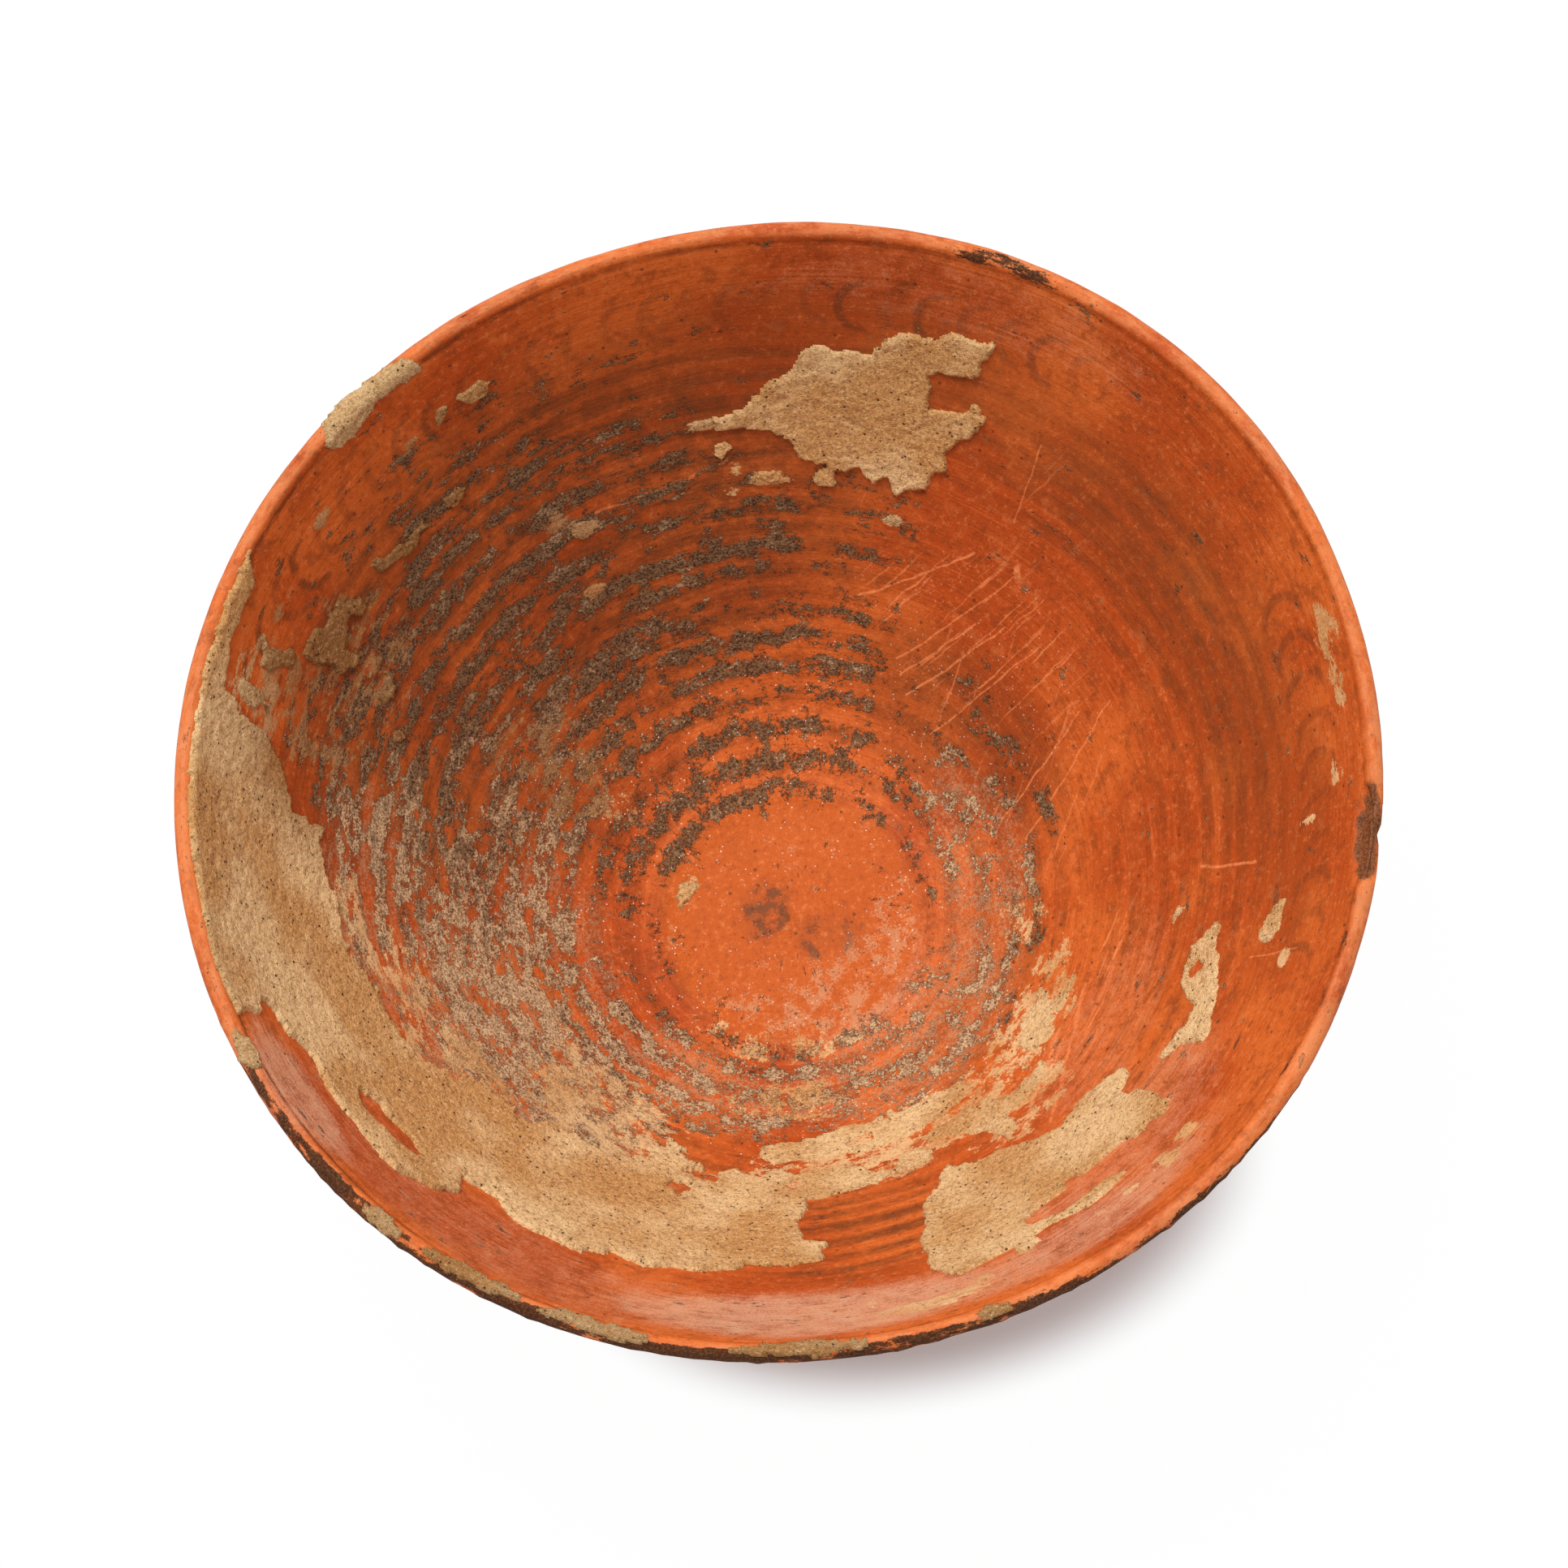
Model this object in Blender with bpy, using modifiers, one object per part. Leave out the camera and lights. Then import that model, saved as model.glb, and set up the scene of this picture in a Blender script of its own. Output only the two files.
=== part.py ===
"""Painted bowl: a turned clay body, its slip coat and the crusts of dried earth that cling to it.

Units are metres and +Z is up. The origin is the middle of the base, on the surface that the bowl
stands on. Clock angles are in degrees, counter-clockwise from +X as seen from above. Stations are in
percent of the run along the inside, from the middle of the floor (0) to the crest of the lip (100);
past 100 they go on over the lip. A crust is given by its outline in clock angles and stations, so it
stays on the wall when the bowl's own sizes change.
"""
from collections import namedtuple
from math import atan2, ceil, cos, hypot, radians, sin

import bmesh
import bpy

# Sizes of the finished bowl
RIM_RADIUS = 0.120
DEPTH = 0.097
FLOOR_THICKNESS = 0.008
FLOOR_FLAT_RADIUS = 0.020
BELLY_RADIUS = 0.072
BELLY_RISE = 0.033
LIP_BEAD_RADIUS = 0.0026
WALL_THICKNESS = 0.0055
FOOT_RADIUS = 0.036
FOOT_HEIGHT = 0.006
FOOT_CHAMFER = 0.001

# Slopes of the wall above the horizontal, in degrees
BELLY_SLOPE = 47.0
LIP_SLOPE = 66.0

# How far each curve of the profile holds its end slopes, as a share of its chord
FLOOR_HOLD = 0.23
BELLY_HOLD_BELOW = 0.49
BELLY_HOLD_ABOVE = 0.385
LIP_HOLD = 0.29

# Coats: the slip ends this high above the base on the outside
SLIP_THICKNESS = 0.0002
SLIP_END_HEIGHT = 0.020
FIT_GAP = 0.0003

# Thickness of the dried earth
THICK_CRUST = 0.0012
THIN_CRUST = 0.0008
LIP_CRUST = 0.0010

# Fineness of the turned shapes
TURN_STEPS = 48
CURVE_STEPS = 5
LIP_STEPS = 3
OUTLINE_STEP = 7.5
WELD = 0.00001

# Clock angle where turning starts, which keeps the facets' edges off the corners of the outlines
SEAM_ANGLE = 1.37

HEIGHT = FLOOR_THICKNESS + DEPTH

Crust = namedtuple("Crust", "name thickness outline windows")

CRUSTS = [
    Crust("crust_far_wall", THICK_CRUST, [
        (56.0, 87.3), (59.2, 86.5), (61.6, 87.1), (62.8, 85.3), (67.2, 84.7), (68.8, 83.2), (69.9, 81.0),
        (73.8, 80.8), (75.6, 81.5), (77.8, 81.1), (79.0, 78.6), (79.6, 76.8), (82.6, 75.3), (83.0, 74.2),
        (86.8, 71.1), (89.2, 70.8), (89.2, 68.7), (86.0, 68.4), (82.0, 68.1), (80.0, 66.6), (77.6, 63.6),
        (74.6, 63.2), (76.6, 61.4), (75.4, 60.0), (72.4, 59.8), (72.6, 62.2), (69.6, 63.2), (67.4, 61.3),
        (65.4, 62.6), (64.0, 60.3), (61.0, 62.0), (59.4, 62.6), (59.6, 64.4), (57.4, 66.2), (57.6, 69.0),
        (56.6, 71.6), (55.2, 72.4), (53.9, 75.8), (56.2, 78.0), (57.2, 76.8), (57.4, 75.6), (61.8, 75.0),
        (61.8, 77.6), (62.7, 79.2), (61.4, 80.2), (57.6, 80.4), (56.4, 81.4), (56.6, 83.4), (56.1, 85.2),
    ], []),
    Crust("crumb_far_upper", THIN_CRUST, [
        (87.0, 66.2), (88.0, 67.2), (89.8, 67.0), (89.5, 65.0), (88.8, 64.0), (88.2, 65.4),
    ], []),
    Crust("crumb_far_lower", THIN_CRUST, [
        (80.4, 61.2), (81.4, 62.6), (84.0, 62.4), (84.4, 61.2), (82.0, 60.4),
    ], []),
    Crust("crust_lip_upper_left", LIP_CRUST, [
        (119.8, 98.9), (120.0, 97.2), (121.6, 96.7), (124.6, 97.6), (127.4, 97.0), (129.4, 95.8),
        (131.8, 96.2), (132.8, 98.0), (132.4, 99.8), (131.4, 101.2), (127.0, 101.6), (123.8, 101.0),
        (120.8, 100.6),
    ], []),
    Crust("crumb_upper_left_1", THIN_CRUST, [
        (113.7, 88.8), (114.8, 90.2), (117.2, 90.1), (118.0, 89.2), (116.8, 87.2), (114.6, 87.2),
    ], []),
    Crust("crumb_upper_left_2", THIN_CRUST, [
        (119.2, 89.4), (120.3, 90.4), (121.2, 88.8), (121.0, 87.6), (120.0, 88.0),
    ], []),
    Crust("crust_left_band", THIN_CRUST, [
        (127.8, 75.8), (128.2, 77.8), (131.4, 77.2), (133.0, 78.2), (135.2, 78.1), (135.8, 80.4),
        (136.9, 79.2), (136.7, 77.0), (134.4, 76.2), (132.4, 75.2), (130.2, 75.2), (129.4, 76.0),
    ], []),
    Crust("crumb_left_band", THIN_CRUST, [
        (121.8, 76.8), (123.0, 77.9), (124.8, 77.6), (125.1, 76.2), (123.7, 75.2),
    ], []),
    Crust("crumb_left_low_1", THIN_CRUST, [
        (145.0, 67.6), (145.2, 69.2), (146.6, 67.6), (147.6, 66.6), (149.2, 67.9), (149.4, 66.0),
        (148.0, 64.7), (146.6, 65.4),
    ], []),
    Crust("crumb_left_low_2", THIN_CRUST, [
        (150.7, 61.8), (151.6, 62.9), (153.4, 62.7), (153.2, 61.4), (151.8, 60.7),
    ], []),
    Crust("crust_left_lump", THICK_CRUST, [
        (140.2, 77.6), (142.2, 79.4), (142.4, 80.8), (146.0, 80.7), (147.0, 82.3), (149.2, 82.4),
        (150.9, 81.9), (150.8, 79.0), (149.6, 76.0), (149.9, 74.5), (148.4, 73.0), (147.0, 72.2),
        (145.6, 73.2), (146.3, 75.6), (143.4, 77.2), (142.0, 75.4), (140.8, 75.9),
    ], []),
    Crust("crust_left_hook", THIN_CRUST, [
        (151.2, 90.2), (152.6, 90.5), (153.4, 89.3), (154.8, 88.6), (154.8, 86.0), (153.6, 84.8),
        (153.2, 83.2), (151.6, 82.8), (150.4, 84.0), (151.6, 86.0), (152.2, 88.0),
    ], []),
    Crust("crust_left_flake", THIN_CRUST, [
        (156.8, 91.2), (157.6, 92.3), (158.8, 91.8), (159.6, 90.2), (159.7, 87.6), (158.2, 85.3),
        (157.0, 86.8), (157.2, 89.4),
    ], []),
    Crust("crust_left_wall", THICK_CRUST, [
        (145.4, 99.4), (168.0, 99.5), (190.0, 99.5), (195.0, 98.8), (194.6, 95.0), (194.8, 92.6),
        (193.4, 91.4), (193.4, 89.2), (196.6, 88.4), (197.6, 86.4), (199.8, 85.1), (203.0, 86.0),
        (211.0, 85.6), (213.4, 86.3), (215.6, 85.6), (217.0, 83.8), (219.6, 81.8), (221.4, 77.6),
        (219.8, 74.2), (224.0, 73.3), (228.8, 75.6), (232.5, 75.0), (237.0, 74.9), (240.2, 71.6),
        (244.0, 73.1), (247.6, 71.2), (250.4, 70.9), (255.0, 69.0), (257.6, 67.0), (262.6, 67.2),
        (266.4, 66.6), (266.8, 64.0), (268.0, 61.6), (264.2, 60.2), (263.2, 55.2), (264.6, 52.2),
        (265.0, 49.8), (268.0, 49.6), (273.0, 48.6), (277.8, 48.1), (281.4, 47.6), (285.0, 48.3),
        (288.2, 47.4), (288.4, 45.2), (285.8, 43.9), (282.6, 44.2), (280.4, 46.0), (276.8, 45.5),
        (275.4, 43.6), (272.6, 41.9), (268.0, 42.2), (262.4, 42.6), (258.8, 41.4), (255.6, 43.2),
        (251.0, 42.3), (247.6, 43.8), (242.4, 43.0), (240.2, 40.6), (236.4, 39.8), (235.0, 42.2),
        (233.6, 45.6), (230.4, 48.2), (226.0, 49.4), (220.4, 49.6), (217.0, 51.4), (215.6, 54.8),
        (213.0, 54.5), (207.0, 54.8), (205.8, 56.6), (207.0, 58.8), (203.6, 60.6), (201.0, 63.4),
        (196.6, 65.0), (190.0, 66.0), (185.6, 67.8), (183.2, 69.4), (177.2, 69.0), (174.8, 71.2),
        (169.4, 71.4), (168.2, 74.6), (168.0, 77.4), (164.6, 79.2), (162.8, 81.4), (160.8, 84.6),
        (160.6, 90.6), (159.2, 92.6), (159.0, 94.6), (156.4, 95.2), (154.8, 96.2), (152.6, 95.6),
        (148.4, 95.8), (146.8, 97.2), (146.6, 98.6),
    ], [
        [(204.6, 79.2), (207.0, 80.8), (209.6, 80.2), (214.0, 78.8), (214.6, 77.2), (211.6, 76.6),
         (206.0, 77.6)],
        [(240.6, 49.4), (243.2, 50.9), (245.0, 49.8), (244.8, 48.6), (242.0, 48.6)],
        [(241.8, 45.4), (245.4, 46.7), (248.6, 45.2), (245.6, 44.6)],
        [(259.8, 45.4), (262.0, 46.6), (264.0, 45.4), (262.6, 44.1)],
    ]),
    Crust("crust_near_low", THIN_CRUST, [
        (254.0, 38.4), (258.0, 40.0), (263.0, 39.8), (268.0, 40.4), (272.0, 39.2), (277.0, 40.1),
        (283.0, 40.2), (293.0, 40.2), (298.0, 40.0), (302.0, 39.0), (303.2, 37.0), (303.0, 35.2),
        (299.0, 34.6), (289.0, 34.0), (285.0, 33.4), (280.0, 33.8), (275.0, 33.2), (271.0, 33.6),
        (268.0, 34.5), (258.0, 35.4), (255.0, 36.0),
    ], [
        [(273.4, 37.0), (275.0, 38.0), (279.4, 37.4), (277.4, 36.0)],
    ]),
    Crust("crust_near_net", THIN_CRUST, [
        (299.0, 54.4), (301.0, 53.0), (303.0, 52.0), (302.0, 49.4), (308.5, 49.5), (312.0, 48.7),
        (314.3, 47.0), (314.0, 45.5), (309.5, 46.0), (306.0, 45.4), (303.6, 43.6), (303.0, 42.2),
        (299.0, 41.6), (294.0, 41.5), (289.0, 41.4), (286.8, 42.2), (290.6, 44.3), (293.0, 45.8),
        (296.0, 48.0), (297.8, 49.7), (298.0, 52.0),
    ], []),
    Crust("crust_near_right", THICK_CRUST, [
        (278.7, 76.0), (280.0, 80.0), (281.5, 81.8), (283.0, 81.9), (284.5, 80.8), (288.2, 80.5),
        (287.6, 84.0), (289.0, 84.3), (291.0, 82.5), (290.4, 80.6), (293.0, 80.2), (297.4, 82.0),
        (299.6, 82.0), (303.8, 80.9), (304.0, 80.2), (300.0, 79.0), (295.0, 79.0), (291.7, 77.0),
        (291.7, 75.0), (294.0, 74.2), (298.2, 74.2), (299.0, 72.2), (300.6, 73.8), (306.5, 74.2),
        (307.6, 76.5), (310.0, 76.2), (312.0, 77.6), (314.2, 76.2), (313.8, 74.5), (315.0, 70.0),
        (313.2, 67.6), (313.4, 65.4), (315.6, 64.9), (317.0, 63.2), (316.6, 61.8), (312.0, 59.4),
        (308.5, 58.8), (305.0, 60.0), (302.5, 58.8), (298.5, 55.6), (296.0, 54.3), (293.0, 54.0),
        (288.5, 50.8), (286.5, 52.0), (285.0, 54.5), (281.5, 58.0), (281.2, 61.0), (279.4, 67.0),
        (279.0, 73.0),
    ], []),
    Crust("crust_right_low", THIN_CRUST, [
        (314.4, 41.8), (315.0, 43.6), (319.5, 44.9), (322.0, 43.8), (326.0, 44.0), (332.5, 43.8),
        (332.0, 42.6), (329.0, 42.2), (327.5, 41.0), (330.0, 38.2), (327.0, 37.3), (325.5, 38.3),
        (319.0, 37.8), (317.0, 38.8), (314.5, 40.0),
    ], []),
    Crust("crust_right_wall", THICK_CRUST, [
        (318.3, 69.0), (321.0, 71.2), (321.5, 74.0), (322.3, 76.0), (324.0, 76.2), (325.0, 74.6),
        (328.0, 74.3), (332.5, 72.0), (335.0, 70.5), (338.0, 70.3), (339.5, 69.0), (337.0, 66.8),
        (336.0, 64.8), (330.0, 65.0), (328.5, 66.8), (326.6, 69.8), (324.0, 70.0), (322.5, 68.8),
        (320.0, 68.5),
    ], [
        [(331.0, 67.4), (332.6, 68.8), (333.0, 67.6), (331.8, 66.5)],
    ]),
    Crust("crust_right_flake", THIN_CRUST, [
        (334.2, 80.5), (335.0, 82.0), (336.5, 82.6), (339.9, 82.9), (339.3, 80.5), (337.5, 78.7),
        (335.5, 78.5),
    ], []),
    Crust("crumb_right", THIN_CRUST, [
        (339.8, 60.2), (341.0, 61.5), (342.2, 62.6), (342.2, 60.4), (341.2, 59.8),
    ], []),
    Crust("crumb_floor", THIN_CRUST, [
        (146.0, 14.0), (152.0, 15.6), (160.0, 15.8), (165.0, 14.6), (158.0, 13.4), (150.0, 13.2),
    ], []),
    Crust("crust_lip_near_1", LIP_CRUST, [
        (196.0, 99.6), (198.0, 98.4), (201.0, 98.6), (201.4, 100.6), (199.0, 101.4), (196.2, 100.8),
    ], []),
    Crust("crust_lip_near_2", LIP_CRUST, [
        (217.6, 99.6), (219.6, 98.9), (222.8, 99.4), (223.0, 100.9), (220.6, 101.5), (218.0, 100.9),
    ], []),
    Crust("crust_lip_near_3", LIP_CRUST, [
        (225.0, 99.3), (229.0, 98.4), (233.0, 98.3), (236.0, 98.8), (236.2, 100.1), (232.0, 100.8),
        (228.0, 100.9), (225.2, 100.6),
    ], []),
    Crust("crust_lip_near_4", LIP_CRUST, [
        (237.4, 99.3), (241.0, 98.5), (245.0, 98.6), (248.8, 99.2), (249.0, 100.6), (245.0, 101.2),
        (241.0, 100.9), (237.6, 100.5),
    ], []),
    Crust("crust_lip_near_5", LIP_CRUST, [
        (256.0, 99.6), (260.0, 98.8), (265.0, 98.7), (269.4, 99.2), (269.6, 100.6), (266.0, 101.2),
        (261.0, 101.0), (256.4, 100.8),
    ], []),
    Crust("crust_lip_near_6", LIP_CRUST, [
        (279.2, 99.8), (281.0, 99.1), (283.4, 99.5), (283.4, 100.8), (281.0, 101.3),
    ], []),
]


def curve(start, start_heading, start_hold, end, end_heading, end_hold, steps):
    """Points (radius, height, heading) along a smooth curve between two headed points, start left out."""
    chord = hypot(end[0] - start[0], end[1] - start[1])
    turn_out = [start[k] + chord * start_hold * f(start_heading) for k, f in enumerate((cos, sin))]
    turn_in = [end[k] - chord * end_hold * f(end_heading) for k, f in enumerate((cos, sin))]
    points = []
    for step in range(1, steps + 1):
        t = step / steps
        u = 1 - t
        place = [u**3 * a + 3 * u * u * t * b + 3 * u * t * t * c + t**3 * d
                 for a, b, c, d in zip(start, turn_out, turn_in, end)]
        slope = [u * u * (b - a) + 2 * u * t * (c - b) + t * t * (d - c)
                 for a, b, c, d in zip(start, turn_out, turn_in, end)]
        points.append((*place, atan2(slope[1], slope[0]) if step < steps else end_heading))
    return points


def lip_arc(first, last, steps):
    """Points round the lip's bead, from one angle to another in degrees, first left out."""
    points = []
    for step in range(1, steps + 1):
        angle = radians(first + (last - first) * step / steps)
        points.append((RIM_RADIUS - LIP_BEAD_RADIUS + LIP_BEAD_RADIUS * cos(angle),
                       HEIGHT - LIP_BEAD_RADIUS + LIP_BEAD_RADIUS * sin(angle), angle - radians(90)))
    return points


def split_at_height(points, height):
    """A falling run of points in two: down to a height, with a point there, and the rest."""
    for place, (above, below) in enumerate(zip(points, points[1:])):
        if below[1] <= height:
            share = (above[1] - height) / (above[1] - below[1])
            level = tuple(a + share * (b - a) for a, b in zip(above, below))
            return points[:place + 1] + [level], points[place + 1:]
    return points, []


def finished_surface():
    """The skin of the finished bowl, from the middle of the floor over the lip to the foot.

    Gives its points and the places in that list of the lip's crest, the rim and the slip's lower end.
    """
    rising = radians(BELLY_SLOPE)
    falling = radians(BELLY_SLOPE - 180)
    flat_end = (FLOOR_FLAT_RADIUS, FLOOR_THICKNESS)
    belly = (BELLY_RADIUS, FLOOR_THICKNESS + BELLY_RISE)
    points = [(0.0, FLOOR_THICKNESS, 0.0), (*flat_end, 0.0)]
    points += curve(flat_end, 0.0, FLOOR_HOLD, belly, rising, BELLY_HOLD_BELOW, CURVE_STEPS)
    lip_start = lip_arc(90, 90 + LIP_SLOPE, 1)[0]
    points += curve(belly, rising, BELLY_HOLD_ABOVE, lip_start[:2], radians(LIP_SLOPE), LIP_HOLD, CURVE_STEPS)
    points += lip_arc(90 + LIP_SLOPE, 90, LIP_STEPS)
    crest = len(points) - 1
    points += lip_arc(90, 0, LIP_STEPS)
    rim = len(points) - 1
    points += lip_arc(0, LIP_SLOPE - 90, 1)

    belly_outside = (belly[0] + WALL_THICKNESS * sin(rising), belly[1] - WALL_THICKNESS * cos(rising))
    foot_top = (FOOT_RADIUS, FOOT_HEIGHT)
    points += curve(points[-1][:2], radians(LIP_SLOPE - 180), LIP_HOLD,
                    belly_outside, falling, BELLY_HOLD_ABOVE, CURVE_STEPS)
    underside = curve(belly_outside, falling, BELLY_HOLD_BELOW,
                      foot_top, radians(-180), FLOOR_HOLD, 2 * CURVE_STEPS)
    slipped, bare = split_at_height(underside, SLIP_END_HEIGHT)
    points += slipped
    slip_end = len(points) - 1
    return points + bare, crest, rim, slip_end


def raised(points, distance):
    """Profile points moved off the finished surface, outwards from the clay."""
    return [(r - distance * sin(heading), z + distance * cos(heading)) for r, z, heading in points]


def stations_of(points, crest):
    """Station in percent of each point, measured along the surface."""
    run = [0.0]
    for before, after in zip(points, points[1:]):
        run.append(run[-1] + hypot(after[0] - before[0], after[1] - before[1]))
    return [100 * length / run[crest] for length in run]


def plan_radius(station, points, stations):
    """Radius of the finished surface at a station."""
    for place in range(len(points) - 1):
        if station <= stations[place + 1]:
            share = (station - stations[place]) / (stations[place + 1] - stations[place])
            return points[place][0] + share * (points[place + 1][0] - points[place][0])
    return points[-1][0]


def new_collection(name):
    """A collection that the scene shows."""
    collection = bpy.data.collections.new(name)
    bpy.context.scene.collection.children.link(collection)
    return collection


def finish(name, colour, roughness):
    """A matt material of one colour."""
    material = bpy.data.materials.new(name)
    material.use_nodes = True
    shader = material.node_tree.nodes["Principled BSDF"]
    shader.inputs["Base Color"].default_value = (*colour, 1.0)
    shader.inputs["Roughness"].default_value = roughness
    shader.inputs["Metallic"].default_value = 0.0
    return material


def turned(name, profile, closed, material, collection):
    """A turned solid. The profile runs down its outer side; a closed one doesn't reach the axis."""
    shape = bmesh.new()
    seam = radians(SEAM_ANGLE)
    points = [shape.verts.new((r * cos(seam), r * sin(seam), z)) for r, z in profile]
    pairs = list(zip(points, points[1:]))
    if closed:
        pairs.append((points[-1], points[0]))
    for pair in pairs:
        shape.edges.new(pair)
    mesh = bpy.data.meshes.new(name)
    shape.to_mesh(mesh)
    shape.free()
    mesh.materials.append(material)
    piece = bpy.data.objects.new(name, mesh)
    collection.objects.link(piece)
    screw = piece.modifiers.new("turn", "SCREW")
    screw.axis = "Z"
    screw.steps = TURN_STEPS
    screw.render_steps = TURN_STEPS
    screw.use_merge_vertices = True
    screw.merge_threshold = WELD
    screw.use_smooth_shade = True
    return piece


def plan_outline(outline, points, stations):
    """Plan points of an outline in clock angles and stations, with long edges bent round the bowl."""
    plan = []
    for (angle, station), (next_angle, next_station) in zip(outline, outline[1:] + outline[:1]):
        steps = max(1, ceil(abs(next_angle - angle) / OUTLINE_STEP))
        for step in range(steps):
            share = step / steps
            radius = plan_radius(station + share * (next_station - station), points, stations)
            clock = radians(angle + share * (next_angle - angle))
            plan.append((radius * cos(clock), radius * sin(clock)))
    return plan


def upright_cutter(name, outlines, collection):
    """An upright prism through the bowl over flat outlines, the first one solid and the others holes."""
    flat = bpy.data.curves.new(name, "CURVE")
    flat.dimensions = "2D"
    flat.fill_mode = "BOTH"
    flat.extrude = HEIGHT
    for outline in outlines:
        spline = flat.splines.new("POLY")
        spline.points.add(len(outline) - 1)
        for point, (x, y) in zip(spline.points, outline):
            point.co = (x, y, 0.0, 1.0)
        spline.use_cyclic_u = True
    drawn = bpy.data.objects.new(name, flat)
    collection.objects.link(drawn)
    drawn.location.z = HEIGHT / 2
    bpy.context.view_layer.update()
    evaluated = drawn.evaluated_get(bpy.context.evaluated_depsgraph_get())
    mesh = bpy.data.meshes.new_from_object(evaluated)
    shape = bmesh.new()
    shape.from_mesh(mesh)
    bmesh.ops.remove_doubles(shape, verts=shape.verts[:], dist=WELD)
    bmesh.ops.recalc_face_normals(shape, faces=shape.faces[:])
    shape.to_mesh(mesh)
    shape.free()
    cutter = bpy.data.objects.new(name, mesh)
    collection.objects.link(cutter)
    cutter.matrix_world = drawn.matrix_world.copy()
    cutter.hide_render = True
    cutter.display_type = "WIRE"
    bpy.data.objects.remove(drawn)
    return cutter


def clay_body(points, collection):
    """The one fired piece: floor, wall, lip and foot."""
    profile = raised(points, -SLIP_THICKNESS - FIT_GAP)
    profile += [(FOOT_RADIUS, FOOT_CHAMFER), (FOOT_RADIUS - FOOT_CHAMFER, 0.0), (0.0, 0.0)]
    clay = finish("tan_clay", (0.50, 0.27, 0.15), 0.85)
    turned("clay_body", profile, False, clay, collection)


def slip_coat(points, collection):
    """The coat of red slip over the inside, the lip and the outside down to its lower end."""
    profile = raised(points, 0.0) + raised(points, -SLIP_THICKNESS)[::-1]
    slip = finish("red_slip", (0.52, 0.13, 0.035), 0.6)
    turned("slip_coat", profile, False, slip, collection)


def earth_crust(crust, points, stations, earth, collection, cutters):
    """One crust: a turned layer just off the slip, cut upright along the crust's outline."""
    lowest = min(station for _, station in crust.outline)
    highest = max(station for _, station in crust.outline)
    first = max(place for place, station in enumerate(stations) if station < lowest)
    layer = points[first:]
    while stations[first + len(layer) - 2] > highest:
        layer = layer[:-1]
    profile = raised(layer, FIT_GAP + crust.thickness) + raised(layer, FIT_GAP)[::-1]
    piece = turned(crust.name, profile, True, earth, collection)
    outlines = [plan_outline(outline, points, stations) for outline in [crust.outline, *crust.windows]]
    cut = piece.modifiers.new("outline", "BOOLEAN")
    cut.operation = "INTERSECT"
    cut.object = upright_cutter("outline_of_" + crust.name, outlines, cutters)


def main():
    for old in list(bpy.data.objects):
        bpy.data.objects.remove(old)
    parts = new_collection("painted_bowl")
    cutters = new_collection("cutters")
    points, crest, rim, slip_end = finished_surface()
    clay_body(points, parts)
    slip_coat(points[:slip_end + 1], parts)
    earth = finish("dried_earth", (0.56, 0.36, 0.17), 0.95)
    inside = points[:rim + 1]
    stations = stations_of(inside, crest)
    for crust in CRUSTS:
        earth_crust(crust, inside, stations, earth, parts, cutters)


main()
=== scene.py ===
"""Looks of the painted bowl: the thrown vessel with its slip and paint, and the dried earth on it.

Places on the bowl are given by a clock angle in degrees, counter-clockwise from +X seen from above, and
a station in percent of the run along the inside, from the middle of the floor (0) to the crest of the
lip (100). Past 100 the stations go on over the lip, down the outside and under the foot.
"""

import math

import bmesh
import bpy
import numpy as np
from mathutils import Matrix, Vector, noise


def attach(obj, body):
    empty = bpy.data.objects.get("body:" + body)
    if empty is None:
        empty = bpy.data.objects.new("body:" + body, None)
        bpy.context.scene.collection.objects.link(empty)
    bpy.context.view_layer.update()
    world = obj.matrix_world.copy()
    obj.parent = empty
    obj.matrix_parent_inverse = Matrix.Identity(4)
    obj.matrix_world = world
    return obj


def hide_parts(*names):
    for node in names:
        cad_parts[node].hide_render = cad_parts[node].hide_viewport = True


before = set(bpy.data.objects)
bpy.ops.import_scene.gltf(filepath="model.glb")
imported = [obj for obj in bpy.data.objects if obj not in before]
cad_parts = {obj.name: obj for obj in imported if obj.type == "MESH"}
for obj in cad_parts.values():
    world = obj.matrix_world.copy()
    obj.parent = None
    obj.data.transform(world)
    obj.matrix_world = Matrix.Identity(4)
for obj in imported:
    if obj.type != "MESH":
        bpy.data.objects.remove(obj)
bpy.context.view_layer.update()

MM = 0.001

# Sizes of the vessel in millimetres, as in the solids but for a finer lip
RIM_RADIUS = 120.0
DEPTH = 97.0
FLOOR_THICKNESS = 8.0
FLOOR_FLAT_RADIUS = 20.0
BELLY_RADIUS = 72.0
BELLY_RISE = 33.0
LIP_BEAD_RADIUS = 2.0
WALL_THICKNESS = 5.5
FOOT_RADIUS = 36.0
FOOT_HEIGHT = 6.0
FOOT_CHAMFER = 1.0
SLIP_END_HEIGHT = 20.0
HEIGHT = FLOOR_THICKNESS + DEPTH

# Slopes of the wall in degrees, and how far each curve holds its end slopes, as a share of its chord
BELLY_SLOPE = 47.0
LIP_SLOPE = 66.0
FLOOR_HOLD = 0.23
BELLY_HOLD_BELOW = 0.49
BELLY_HOLD_ABOVE = 0.385
LIP_HOLD = 0.29

# The thrown wall leans: below this height its axis lies off the rim's centre, in millimetres
LEAN = (-2.06, 0.29)
LEAN_HEIGHT = 63.0
# Waves of the rim: count round the bowl, height in millimetres, clock angle of a crest
RIM_WAVES = [(2, 0.53, 2.9), (3, 0.32, 50.0), (4, 0.50, 44.0)]

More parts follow.
